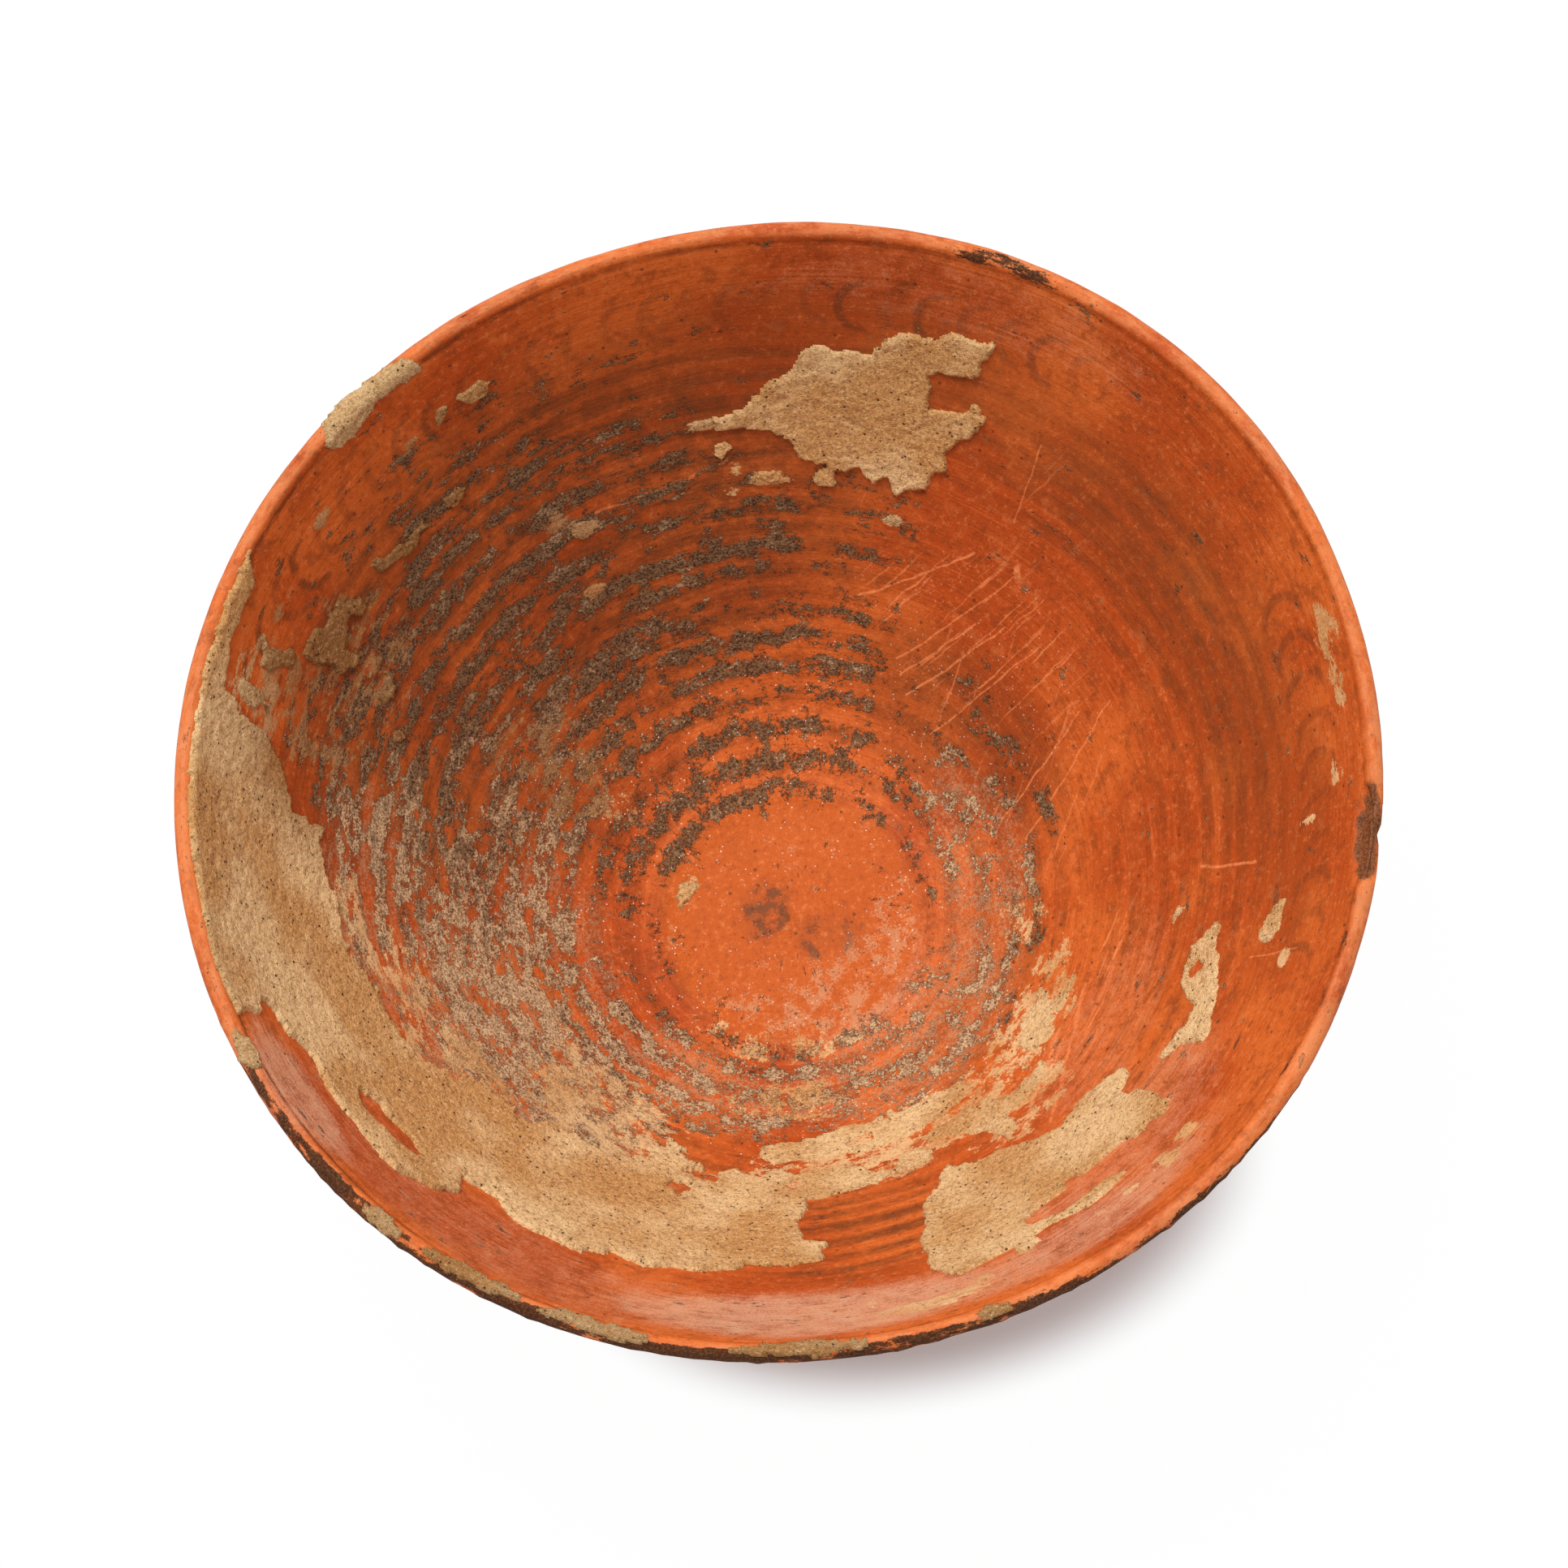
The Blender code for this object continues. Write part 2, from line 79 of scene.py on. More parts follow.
# The camera: elevation and roll in degrees, distance from the rim's centre, pixels per millimetre there,
# and the pixel of the photograph's frame that the rim's centre falls on
CAMERA_ELEVATION = 71.07
CAMERA_ROLL = 9.7
CAMERA_DISTANCE = 1300.0
PIXELS_PER_MM = 6.225
RIM_CENTRE_PIXEL = (957.4, 952.7)
FRAME_PIXELS = 1932
SENSOR_WIDTH = 36.0

# The light: clock angle, elevation and spread of the key in degrees, its strength and the fill's
KEY_CLOCK = 112.0
KEY_ELEVATION = 68.0
KEY_SPREAD = 35.0
KEY_STRENGTH = 2.7
FILL_STRENGTH = 0.62

# The floor: half its width in metres, its colours, and the share of its brightness that is its own. That
# share rises between two radii in millimetres, and across the soft edge of an oval, where the shadow lies
FLOOR_REACH = 6.0
FLOOR_COLOUR = (0.84, 0.9, 0.92, 1.0)
WHITE = (1.0, 1.0, 1.0, 1.0)
FLOOR_OWN = 0.98
FLOOR_FADE = (62.0, 98.0)
SHADE_CENTRE = (12.0, -58.0)
SHADE_HALF = (78.0, 50.0)
SHADE_EDGE = (0.72, 1.02)

# Points along each curve of the profile, along each part of the lip's bead, and along each straight line
CURVE_STEPS, BEAD_STEPS, LINE_STEPS = 60, 24, 12
# Steps of the vessel's mesh: count round the bowl, stations between rings, and where the lip's rings start
TURN_STEPS = 360
INSIDE_STEP = 0.53
LIP_STEP = 0.36
OUTSIDE_STEP = 2.0
LIP_START = 95
# Points closer than the first, in metres, are one point, and those within the second lie on the axis
WELD = 0.002 * MM
AXIS_REACH = 0.1 * MM
TINY = 1e-9  # stands in for a length of nil that something is divided by

# Crusts, in millimetres: cells of their mesh, room round an outline for its ragged edge, which is in stations
# along the wall, and how far the edge and the underside stand off it, where less than 0 is sunk into it
CRUST_CELL = 0.45
CRUST_MARGIN = 1.0
CRUST_EDGE = -0.05
CRUST_SEAT = -0.25
CRUMB_CELLS = 36  # cells along a crumb that is too small for cells of that size
CELL_SHIFT = 0.35  # how far noise moves a cell's corner, as a share of the cell

# Where covers fade: grit at its arcs' ends in degrees, grit and bands across in half widths, and the value of
# 1 - (distance / half width)**2 from which a zone has its full weight
GRIT_TAPER = 2.5
GRIT_EDGE = (0.45, 1.35)
BAND_EDGE = (0.6, 1.4)
ZONE_EDGE = 0.8

# Stations of the floor's soft edge, of the lip's worn crest and of the painted shade in its groove
FLOOR_STATIONS = (18.4, 15.6)
CREST_STATION = 100.3
GROOVE_SHADE_STATION = 98.2

# The crescent strokes: how many would go round, the clock angle of the first, their station, and the pitch
# and radius in millimetres
STROKE_COUNT = 82
STROKE_CLOCK = 140.9
STROKE_STATION = 88.6
STROKE_PITCH = 8.4
STROKE_RADIUS = 5.8

# Furrows: zone, heading in degrees, strength; the scale of their noise along them, and how far they and the
# scratches bend, in millimetres
FURROWS = (("raked", 19.0, 0.9), ("scraped", 56.0, 0.9))
FURROW_STRETCH = 0.05
SCRATCH_BEND = 1.6

# Heights of the bump in millimetres
SLIP_BUMP = 0.4
EARTH_BUMP = 0.85

# Sockets of a Mix node that mixes colours
MIX_SHARE, MIX_BELOW, MIX_ABOVE, MIX_RESULT = 0, 6, 7, 2

# Colours in 0 to 255
PALETTE = {
    "deep_slip": (180, 73, 20), "light_slip": (206, 98, 36), "floor_slip": (190, 86, 10),
    "dark_streak": (150, 62, 18), "light_streak": (220, 120, 60),
    "dark_mottle": (132, 60, 22), "light_mottle": (226, 128, 70),
    "dark_pit": (112, 48, 16), "light_pit": (238, 142, 82),
    "dark_grain": (118, 52, 20), "light_grain": (232, 146, 92),
    # dark_wash is a darker wash, partly painted shade in the far left
    "dark_wash": (120, 56, 18), "band_paint": (92, 48, 20), "stroke_paint": (88, 46, 22),
    "wall_dust": (216, 168, 134), "floor_dust": (202, 156, 116), "floor_stain": (108, 60, 28),
    "scratch": (238, 142, 86), "bloom_dust": (190, 150, 112),
    "dark_grit_low": (48, 33, 22), "dark_grit_high": (138, 104, 72),
    "pale_grit_low": (124, 92, 64), "pale_grit_high": (226, 188, 144),
    "film_shade": (150, 100, 58), "pale_speck": (240, 222, 204), "dark_speck": (76, 40, 20),
    # groove_shade is painted shade in the lip's groove
    "worn_lip": (216, 130, 78), "groove_shade": (84, 46, 24),
    # Soil colours of the lip's dirt, darkened so that on the near outside they are partly painted shade
    "dark_soil_and_shade": (28, 16, 9), "light_soil_and_shade": (94, 64, 38),
    "dark_chip": (70, 36, 16), "light_chip": (150, 86, 46),
    "dark_clay": (176, 122, 84), "light_clay": (198, 148, 108),
    # damp_earth is painted shade on the earth
    "deep_earth": (220, 161, 98), "light_earth": (250, 206, 148), "damp_earth": (132, 84, 44),
    "earth_clod": (170, 112, 62), "dark_sand": (112, 68, 36), "pale_sand": (252, 222, 178),
    # earth_pore is painted shade in the pores
    "earth_pore": (76, 44, 24),
}

# Painted bands: station, half width in stations, strength
BANDS = [
    (17.8, 1.1, 1), (21.6, 1.2, 0.9), (26, 1.2, 0.85), (30.6, 1.1, 0.8), (34.6, 1, 0.75),
    (38.6, 1.2, 0.8), (42.2, 1.1, 0.8), (45, 0.9, 0.7), (48, 1.1, 0.85), (51.4, 1.2, 0.9),
    (54.2, 0.8, 0.65), (57.4, 1.2, 0.9), (61.4, 1.2, 0.95), (65.8, 1.2, 0.9), (69.8, 1.1, 0.85),
    (73, 1.1, 0.95), (77, 1.2, 0.85), (80.6, 0.9, 0.8),
]

# Grey grit left along the bands: station, half width in stations, first and last clock angle, weight
GRIT_ARCS = [
    (80.4, 0.9, 112, 129, 0.75), (80.2, 0.7, 152, 160, 0.5), (77, 1.3, 111, 133, 0.9),
    (77.2, 1.1, 150, 164, 0.7), (73, 1.1, 93, 131, 0.95), (72.6, 1.2, 131, 166, 0.85),
    (69.9, 1.2, 87, 130, 0.9), (69.6, 1.3, 131, 168, 0.85), (66, 1.3, 89, 117, 0.85),
    (66.2, 1.4, 122, 152, 0.95), (66.4, 1.8, 162, 202, 0.75), (61.6, 1.4, 94, 150, 1),
    (61.4, 1.6, 150, 187, 0.95), (61.2, 0.9, 72, 92, 0.6), (61.8, 0.7, 359, 368, 0.35),
    (57.2, 1.2, 60, 68, 0.8), (57.2, 1.1, 77, 101, 0.8), (57.4, 1.4, 112, 150, 0.95),
    (57, 1.7, 150, 212, 0.85), (54.2, 1, 64, 69, 0.7), (54, 1, 118, 150, 0.6),
    (54, 1.4, 160, 214, 0.7), (51.2, 1.4, 60, 70, 0.65), (51.3, 1.3, 76, 117, 1),
    (51.6, 1.6, 118, 166, 1), (51, 1.6, 172, 222, 0.8), (48, 1.2, 73, 109, 0.95),
    (48.2, 1.3, 122, 148, 0.8), (47.6, 2, 160, 232, 0.95), (48.2, 1.2, 264, 284, 0.6),
    (44.8, 1.2, 59, 82, 0.75), (44.6, 1, 84, 101, 0.7), (44.4, 1.4, 103, 162, 0.9),
    (44.4, 1.9, 164, 232, 0.95), (42.2, 1.2, 58, 84, 0.85), (42.2, 1.3, 103, 168, 0.95),
    (41.4, 1.4, 172, 230, 0.85), (41, 0.9, 30, 40, 0.5), (38.4, 1.4, 62, 100, 0.8),
    (38.6, 1.4, 100, 170, 0.85), (38.2, 1.8, 170, 238, 0.9), (38.6, 0.9, 318, 346, 0.5),
    (34.6, 1.2, 56, 140, 0.85), (34.8, 1.6, 140, 244, 0.85), (34.6, 1, 338, 354, 0.6),
    (31, 1, 30, 42, 0.55), (30.8, 1.1, 58, 88, 0.8), (30.8, 1.2, 98, 166, 0.85),
    (31, 1.5, 166, 262, 0.8), (31, 1.2, 298, 352, 0.65), (33, 1.2, 228, 256, 0.7),
    (26.2, 1, -4, 26, 0.6), (26.4, 1.2, 52, 84, 0.85), (26.4, 1.2, 84, 118, 0.85),
    (26, 1.1, 138, 166, 0.7), (26.6, 1.6, 198, 250, 0.85), (26.6, 1.6, 250, 300, 0.8),
    (26.8, 1.3, 300, 336, 0.65), (28.4, 1, 10, 24, 0.55), (21.8, 0.9, 2, 60, 0.65),
    (21.6, 1.4, 60, 120, 1), (21.8, 1.7, 120, 172, 0.95), (22, 1.5, 200, 262, 0.8),
    (21.8, 1.3, 262, 300, 0.6), (21.6, 1.1, 300, 336, 0.6), (18, 0.9, 4, 60, 0.75),
    (17.8, 1.3, 60, 152, 1.05), (18.2, 1.1, 152, 200, 0.6), (18.4, 1.2, 226, 306, 0.7),
    (18.6, 1, 306, 364, 0.6), (87.6, 1.6, 112, 119, 0.5), (86, 2.2, 121, 128, 0.45),
    (84.4, 1.6, 152, 160, 0.45), (36.6, 1.3, 20, 33, 0.75), (33, 1.2, 12, 24, 0.7),
    (40.6, 1.2, 34, 43, 0.7), (44.4, 1, 38, 46, 0.65), (29.6, 1.2, -2, 14, 0.7), (33.4, 1.2, -8, 4, 0.65),
    (38.2, 1.1, 4, 14, 0.6), (24, 1, 24, 44, 0.6),
]

# Soft zones on the vessel: clock angle, station, half widths of both, weight
ZONES = {
    "paint": [
        (125, 52, 75, 48, 1), (200, 40, 60, 26, 0.9), (18, 72, 52, 16, 0.55), (340, 62, 40, 22, 0.35),
        (272, 60, 22, 16, 1), (85, 80, 40, 9, 0.8), (20, 30, 70, 16, 0.6), (300, 26, 70, 12, 0.6),
    ],
    # A darker wash on the slip, which in the far left is partly painted shade; it also places the stain on
    # the floor
    "wash": [
        (36, 36, 40, 12, 0.8), (325, 30, 40, 9, 0.5), (115, 60, 56, 34, 1.2), (80, 80, 44, 13, 0.7),
        (18, 76, 40, 13, 0.75), (140, 42, 40, 20, 0.8), (145, 62, 36, 26, 1), (348, 84, 22, 8, 0.5),
        (150, 3, 85, 5, 0.7), (320, 3, 60, 5, 0.6), (340, 7, 40, 4, 0.4),
    ],
    "bloom": [
        (205, 48, 48, 20, 1), (178, 62, 26, 16, 0.8), (190, 34, 52, 14, 0.8), (150, 40, 26, 16, 0.5),
        (235, 28, 44, 10, 0.9), (300, 26, 70, 12, 0.9), (5, 27, 44, 10, 0.8),
    ],
    "haze": [
        (232, 86, 44, 15, 0.42), (264, 86, 30, 13, 0.85), (290, 88, 30, 9, 0.7), (300, 13, 85, 7, 0.75),
        (322, 54, 26, 12, 0.35), (306, 74, 24, 14, 0.5), (60, 93, 30, 8, 0.3), (204, 94, 12, 8, 0.8),
    ],
    "speck": [
        (280, 34, 70, 16, 1), (120, 24, 120, 24, 0.9), (0, 18, 120, 18, 0.8), (200, 18, 120, 18, 0.8),
        (40, 42, 40, 20, 0.5),
    ],
    "film": [
        (285, 41, 40, 9, 0.85), (318, 40, 28, 7, 0.7), (222, 42, 22, 12, 0.85), (260, 27, 26, 5, 0.7),
        (150, 74, 16, 14, 0.55), (255, 18, 50, 3, 0.55), (140, 38, 14, 16, 0.55), (278, 89, 9, 3, 0.8),
        (158, 88, 8, 8, 0.55), (6, 94.6, 4, 3.4, 0.9), (1, 94.6, 3.4, 3, 0.8), (352, 92, 2, 2, 0.8),
        (195, 62, 20, 12, 0.6), (305, 50, 14, 7, 0.7), (185, 67, 14, 5, 0.85), (206, 56, 13, 6, 0.85),
        (346, 32, 12, 5, 0.55), (152, 14, 12, 2, 0.5), (125, 88.5, 1.5, 1.8, 1.3), (138, 91, 1.5, 1.4, 1.3),
        (149, 89.3, 1.4, 1.2, 1.3), (156.2, 84.3, 1.2, 1.7, 1.3), (146, 70, 1.6, 1.5, 1.3),
        (110.5, 61.3, 2.2, 1.7, 1.4), (113.5, 64.3, 2.1, 1.6, 1.3), (113.5, 53, 2.1, 1.4, 1.3),
        (87.2, 62.8, 1.2, 1.1, 1.2), (88, 59.9, 1.4, 1.2, 1.2), (63.5, 57, 2.1, 1.4, 1.1),
        (82.5, 61.3, 4.2, 1.5, 1.1), (91, 70, 4.8, 1.1, 0.75), (283.2, 86.2, 1.6, 1.6, 1.2),
        (297, 85.7, 1.3, 1.5, 1.1), (271.2, 83.5, 1.2, 1.8, 1), (301.5, 85.8, 1, 1.1, 1),
        (306.5, 86, 1.8, 2.7, 1.2), (310, 84.5, 1.8, 2.2, 1.2), (332.5, 85.2, 1.2, 2, 1.1),
        (348, 85.5, 1.2, 1.8, 1.1),
    ],
    "stroke": [
        (4, 88, 16, 12, 0.6), (62, 89, 26, 12, 0.8), (140, 88, 34, 12, 1), (345, 88, 22, 12, 0.6),
        (100, 89, 24, 12, 0.45), (255, 85, 50, 12, 0.4), (30, 88, 24, 12, 0.25),
    ],
    # Dirt on the lip; on the near outside, below the crest, it is partly painted shade
    "dirt_and_shade": [
        (250, 102, 66, 2.6, 1), (290, 102.4, 46, 2.6, 1.1), (266, 103.4, 56, 2.6, 0.8),
        (262, 101.2, 50, 1.7, 1.15), (222, 100.6, 34, 1.5, 1), (200, 100.8, 16, 1.6, 0.7),
        (57, 99.6, 12, 1.6, 0.8), (114, 99.8, 4, 1.2, 0.6), (330, 98.4, 22, 1.4, 0.55),
        (240, 100.7, 52, 1.1, 0.85),
    ],
    # Painted shade on the crusts and earth film of the far left and of the near lip
    "damp": [
        (138, 68, 42, 34, 1), (145, 45, 40, 22, 1), (250, 100, 80, 4, 0.75), (126, 99, 14, 4, 0.4),
    ],
    "chip": [
        (344, 99.2, 6, 3.8, 1),
    ],
    "gritty": [
        (22, 35, 30, 13, 0.75), (135, 55, 62, 34, 1), (110, 30, 75, 20, 1), (195, 42, 56, 26, 1),
        (270, 28, 70, 16, 0.9), (20, 24, 60, 9, 0.6), (330, 28, 50, 12, 0.7), (80, 58, 30, 14, 0.8),
        (128, 84, 34, 10, 0.7),
    ],
    "raked": [
        (44, 48, 30, 14, 1), (45, 66, 12, 14, 0.4),
    ],
    "scraped": [
        (24, 40, 34, 15, 0.8), (322, 50, 30, 11, 1),
    ],
}

# Scratches: clock angle and station of both ends, width in millimetres, strength
SCRATCHES = [
    (33, 52, 42, 31, 0.35, 0.8), (45, 48, 55, 36, 0.4, 0.9), (50, 57, 67, 45, 0.4, 1),
    (5, 34, 18, 55, 0.4, 0.8), (12, 31, 20, 50, 0.4, 0.8), (40, 50, 52, 34, 0.4, 0.9),
    (44, 54, 57, 38, 0.35, 0.8), (46, 64, 47, 76, 0.35, 0.7), (300, 55, 318, 46, 0.8, 0.7),
    (305, 57, 330, 46, 0.7, 0.7), (333, 78, 333.4, 87, 0.4, 0.7), (345.3, 75, 347.2, 64.5, 0.6, 0.9),
    (88, 64.5, 108, 62.6, 0.45, 0.7), (42, 57.4, 42.8, 58.6, 1.5, 1),
]

# Crusts of dried earth: piece, thickness in millimetres, outline in clock angles and stations, windows
CRUSTS = [
    ("crust_far_wall", 1.3, [
        (56, 87.3), (59.2, 86.5), (61.6, 87.1), (62.8, 85.3), (67.2, 84.7), (68.8, 83.2), (69.9, 81),
        (73.8, 80.8), (75.6, 81.5), (77.8, 81.1), (79, 78.6), (79.6, 76.8), (82.6, 75.3), (83, 74.2),
        (86.8, 71.1), (89.2, 70.8), (89.2, 68.7), (86, 68.4), (82, 68.1), (80, 66.6), (77.6, 63.6),
        (74.6, 63.2), (76.6, 61.4), (75.4, 60), (72.4, 59.8), (72.6, 62.2), (69.6, 63.2), (67.4, 61.3),
        (65.4, 62.6), (64, 60.3), (61, 62), (59.4, 62.6), (59.6, 64.4), (57.4, 66.2), (57.6, 69),
        (56.6, 71.6), (55.2, 72.4), (53.9, 75.8), (56.2, 78), (57.2, 76.8), (57.4, 75.6), (61.8, 75),
        (61.8, 77.6), (62.7, 79.2), (61.4, 80.2), (57.6, 80.4), (56.4, 81.4), (56.6, 83.4), (56.1, 85.2),
    ], []),
    ("crumb_far_upper", 0.8, [
        (87, 66.2), (88, 67.2), (89.8, 67), (89.5, 65), (88.8, 64), (88.2, 65.4),
    ], []),
    ("crumb_far_lower", 0.8, [
        (80.4, 61.2), (81.4, 62.6), (84, 62.4), (84.4, 61.2), (82, 60.4),
    ], []),
    ("crust_lip_upper_left", 1.1, [
        (119.8, 98.9), (120, 97.2), (121.6, 96.7), (124.6, 97.6), (127.4, 97), (129.4, 95.8), (131.8, 96.2),
        (132.8, 98), (132.4, 99.8), (131.4, 101.2), (127, 101.6), (123.8, 101), (120.8, 100.6),
    ], []),
    ("crumb_upper_left_1", 0.8, [
        (113.7, 88.8), (114.8, 90.2), (117.2, 90.1), (118, 89.2), (116.8, 87.2), (114.6, 87.2),
    ], []),
    ("crumb_upper_left_2", 0.8, [
        (119.2, 89.4), (120.3, 90.4), (121.2, 88.8), (121, 87.6), (120, 88),
    ], []),
    ("crust_left_band", 0.8, [
        (127.8, 75.8), (128.2, 77.8), (131.4, 77.2), (133, 78.2), (135.2, 78.1), (135.8, 80.4),
        (136.9, 79.2), (136.7, 77), (134.4, 76.2), (132.4, 75.2), (130.2, 75.2), (129.4, 76),
    ], []),
    ("crumb_left_band", 0.8, [
        (121.8, 76.8), (123, 77.9), (124.8, 77.6), (125.1, 76.2), (123.7, 75.2),
    ], []),
    ("crumb_left_low_1", 0.8, [
        (145, 67.6), (145.2, 69.2), (146.6, 67.6), (147.6, 66.6), (149.2, 67.9), (149.4, 66), (148, 64.7),
        (146.6, 65.4),
    ], []),
    ("crumb_left_low_2", 0.8, [
        (150.7, 61.8), (151.6, 62.9), (153.4, 62.7), (153.2, 61.4), (151.8, 60.7),
    ], []),
    ("crust_left_lump", 1.2, [
        (140.2, 77.6), (142.2, 79.4), (142.4, 80.8), (146, 80.7), (147, 82.3), (149.2, 82.4), (150.9, 81.9),
        (150.8, 79), (149.6, 76), (149.9, 74.5), (148.4, 73), (147, 72.2), (145.6, 73.2), (146.3, 75.6),
        (143.4, 77.2), (142, 75.4), (140.8, 75.9),
    ], []),
    ("crust_left_hook", 0.9, [
        (151.2, 90.2), (152.6, 90.5), (153.4, 89.3), (154.8, 88.6), (154.8, 86), (153.6, 84.8),
        (153.2, 83.2), (151.6, 82.8), (150.4, 84), (151.6, 86), (152.2, 88),
    ], []),
    ("crust_left_flake", 0.9, [
        (156.8, 91.2), (157.6, 92.3), (158.8, 91.8), (159.6, 90.2), (159.7, 87.6), (158.2, 85.3),
        (157, 86.8), (157.2, 89.4),
    ], []),
    ("crust_left_wall", 1.3, [
        (145.4, 99.4), (168, 99.5), (190, 99.5), (195, 98.8), (194.6, 95), (194.8, 92.6), (193.4, 91.4),
        (193.4, 89.2), (196.6, 88.4), (197.6, 86.4), (199.8, 85.1), (203, 86), (211, 85.6), (213.4, 86.3),
        (215.6, 85.6), (217, 83.8), (219.6, 81.8), (221.4, 77.6), (219.8, 74.2), (224, 73.3), (228.8, 75.6),
        (232.5, 75), (237, 74.9), (240.2, 71.6), (244, 73.1), (247.6, 71.2), (250.4, 70.9), (255, 69),
        (257.6, 67), (262.6, 67.2), (266.4, 66.6), (266.8, 64), (268, 61.6), (264.2, 60.2), (263.2, 55.2),
        (264.6, 52.2), (265, 49.8), (268, 49.6), (273, 48.6), (277.8, 48.1), (281.4, 47.6), (285, 48.3),
        (288.2, 47.4), (288.4, 45.2), (285.8, 43.9), (282.6, 44.2), (280.4, 46), (276.8, 45.5),
        (275.4, 43.6), (272.6, 41.9), (268, 42.2), (262.4, 42.6), (258.8, 41.4), (255.6, 43.2), (251, 42.3),
        (247.6, 43.8), (242.4, 43), (240.2, 40.6), (236.4, 39.8), (235, 42.2), (233.6, 45.6), (230.4, 48.2),
        (226, 49.4), (220.4, 49.6), (217, 51.4), (215.6, 54.8), (213, 54.5), (207, 54.8), (205.8, 56.6),
        (207, 58.8), (203.6, 60.6), (201, 63.4), (196.6, 65), (190, 66), (185.6, 67.8), (183.2, 69.4),
        (177.2, 69), (174.8, 71.2), (169.4, 71.4), (168.2, 74.6), (168, 77.4), (164.6, 79.2), (162.8, 81.4),
        (160.8, 84.6), (160.6, 90.6), (159.2, 92.6), (159, 94.6), (156.4, 95.2), (154.8, 96.2),
        (152.6, 95.6), (148.4, 95.8), (146.8, 97.2), (146.6, 98.6),
    ], [
        [(204.6, 79.2), (207, 80.8), (209.6, 80.2), (214, 78.8), (214.6, 77.2), (211.6, 76.6),
         (206, 77.6)],
        [(240.6, 49.4), (243.2, 50.9), (245, 49.8), (244.8, 48.6), (242, 48.6)],
        [(241.8, 45.4), (245.4, 46.7), (248.6, 45.2), (245.6, 44.6)],
        [(259.8, 45.4), (262, 46.6), (264, 45.4), (262.6, 44.1)],
    ]),
    ("crust_near_low", 0.8, [
        (254, 38.4), (258, 40), (263, 39.8), (268, 40.4), (272, 39.2), (277, 40.1), (283, 40.2),
        (293, 40.2), (298, 40), (302, 39), (303.2, 37), (303, 35.2), (299, 34.6), (289, 34), (285, 33.4),
        (280, 33.8), (275, 33.2), (271, 33.6), (268, 34.5), (258, 35.4), (255, 36),
    ], [
        [(273.4, 37), (275, 38), (279.4, 37.4), (277.4, 36)],
    ]),
    ("crust_near_net", 0.8, [
        (299, 54.4), (301, 53), (303, 52), (302, 49.4), (308.5, 49.5), (312, 48.7), (314.3, 47),
        (314, 45.5), (309.5, 46), (306, 45.4), (303.6, 43.6), (303, 42.2), (299, 41.6), (294, 41.5),
        (289, 41.4), (286.8, 42.2), (290.6, 44.3), (293, 45.8), (296, 48), (297.8, 49.7), (298, 52),
    ], []),
    ("crust_near_right", 1.2, [
        (278.7, 76), (280, 80), (281.5, 81.8), (283, 81.9), (284.5, 80.8), (288.2, 80.5), (287.6, 84),
        (289, 84.3), (291, 82.5), (290.4, 80.6), (293, 80.2), (297.4, 82), (299.6, 82), (303.8, 80.9),
        (304, 80.2), (300, 79), (295, 79), (291.7, 77), (291.7, 75), (294, 74.2), (298.2, 74.2),
        (299, 72.2), (300.6, 73.8), (306.5, 74.2), (307.6, 76.5), (310, 76.2), (312, 77.6), (314.2, 76.2),
        (313.8, 74.5), (315, 70), (313.2, 67.6), (313.4, 65.4), (315.6, 64.9), (317, 63.2), (316.6, 61.8),
        (312, 59.4), (308.5, 58.8), (305, 60), (302.5, 58.8), (298.5, 55.6), (296, 54.3), (293, 54),
        (288.5, 50.8), (286.5, 52), (285, 54.5), (281.5, 58), (281.2, 61), (279.4, 67), (279, 73),
    ], []),
    ("crust_right_low", 0.8, [
        (314.4, 41.8), (315, 43.6), (319.5, 44.9), (322, 43.8), (326, 44), (332.5, 43.8), (332, 42.6),
        (329, 42.2), (327.5, 41), (330, 38.2), (327, 37.3), (325.5, 38.3), (319, 37.8), (317, 38.8),
        (314.5, 40),
    ], []),
    ("crust_right_wall", 1, [
        (318.3, 69), (321, 71.2), (321.5, 74), (322.3, 76), (324, 76.2), (325, 74.6), (328, 74.3),
        (332.5, 72), (335, 70.5), (338, 70.3), (339.5, 69), (337, 66.8), (336, 64.8), (330, 65),
        (328.5, 66.8), (326.6, 69.8), (324, 70), (322.5, 68.8), (320, 68.5),
    ], [
        [(331, 67.4), (332.6, 68.8), (333, 67.6), (331.8, 66.5)],
    ]),
    ("crust_right_flake", 0.8, [
        (334.2, 80.5), (335, 82), (336.5, 82.6), (339.9, 82.9), (339.3, 80.5), (337.5, 78.7), (335.5, 78.5),
    ], []),
    ("crumb_right", 0.8, [
        (339.8, 60.2), (341, 61.5), (342.2, 62.6), (342.2, 60.4), (341.2, 59.8),
    ], []),
    ("crumb_floor", 0.8, [
        (146, 14), (152, 15.6), (160, 15.8), (165, 14.6), (158, 13.4), (150, 13.2),
    ], []),
    ("crust_lip_near_1", 1, [
        (196, 99.6), (198, 98.4), (201, 98.6), (201.4, 100.6), (199, 101.4), (196.2, 100.8),
    ], []),
    ("crust_lip_near_2", 1, [
        (217.6, 99.6), (219.6, 98.9), (222.8, 99.4), (223, 100.9), (220.6, 101.5), (218, 100.9),
    ], []),
    ("crust_lip_near_3", 1, [
        (225, 99.3), (229, 98.4), (233, 98.3), (236, 98.8), (236.2, 100.1), (232, 100.8), (228, 100.9),
        (225.2, 100.6),
    ], []),
    ("crust_lip_near_4", 1, [
        (237.4, 99.3), (241, 98.5), (245, 98.6), (248.8, 99.2), (249, 100.6), (245, 101.2), (241, 100.9),
        (237.6, 100.5),
    ], []),
    ("crust_lip_near_5", 1, [
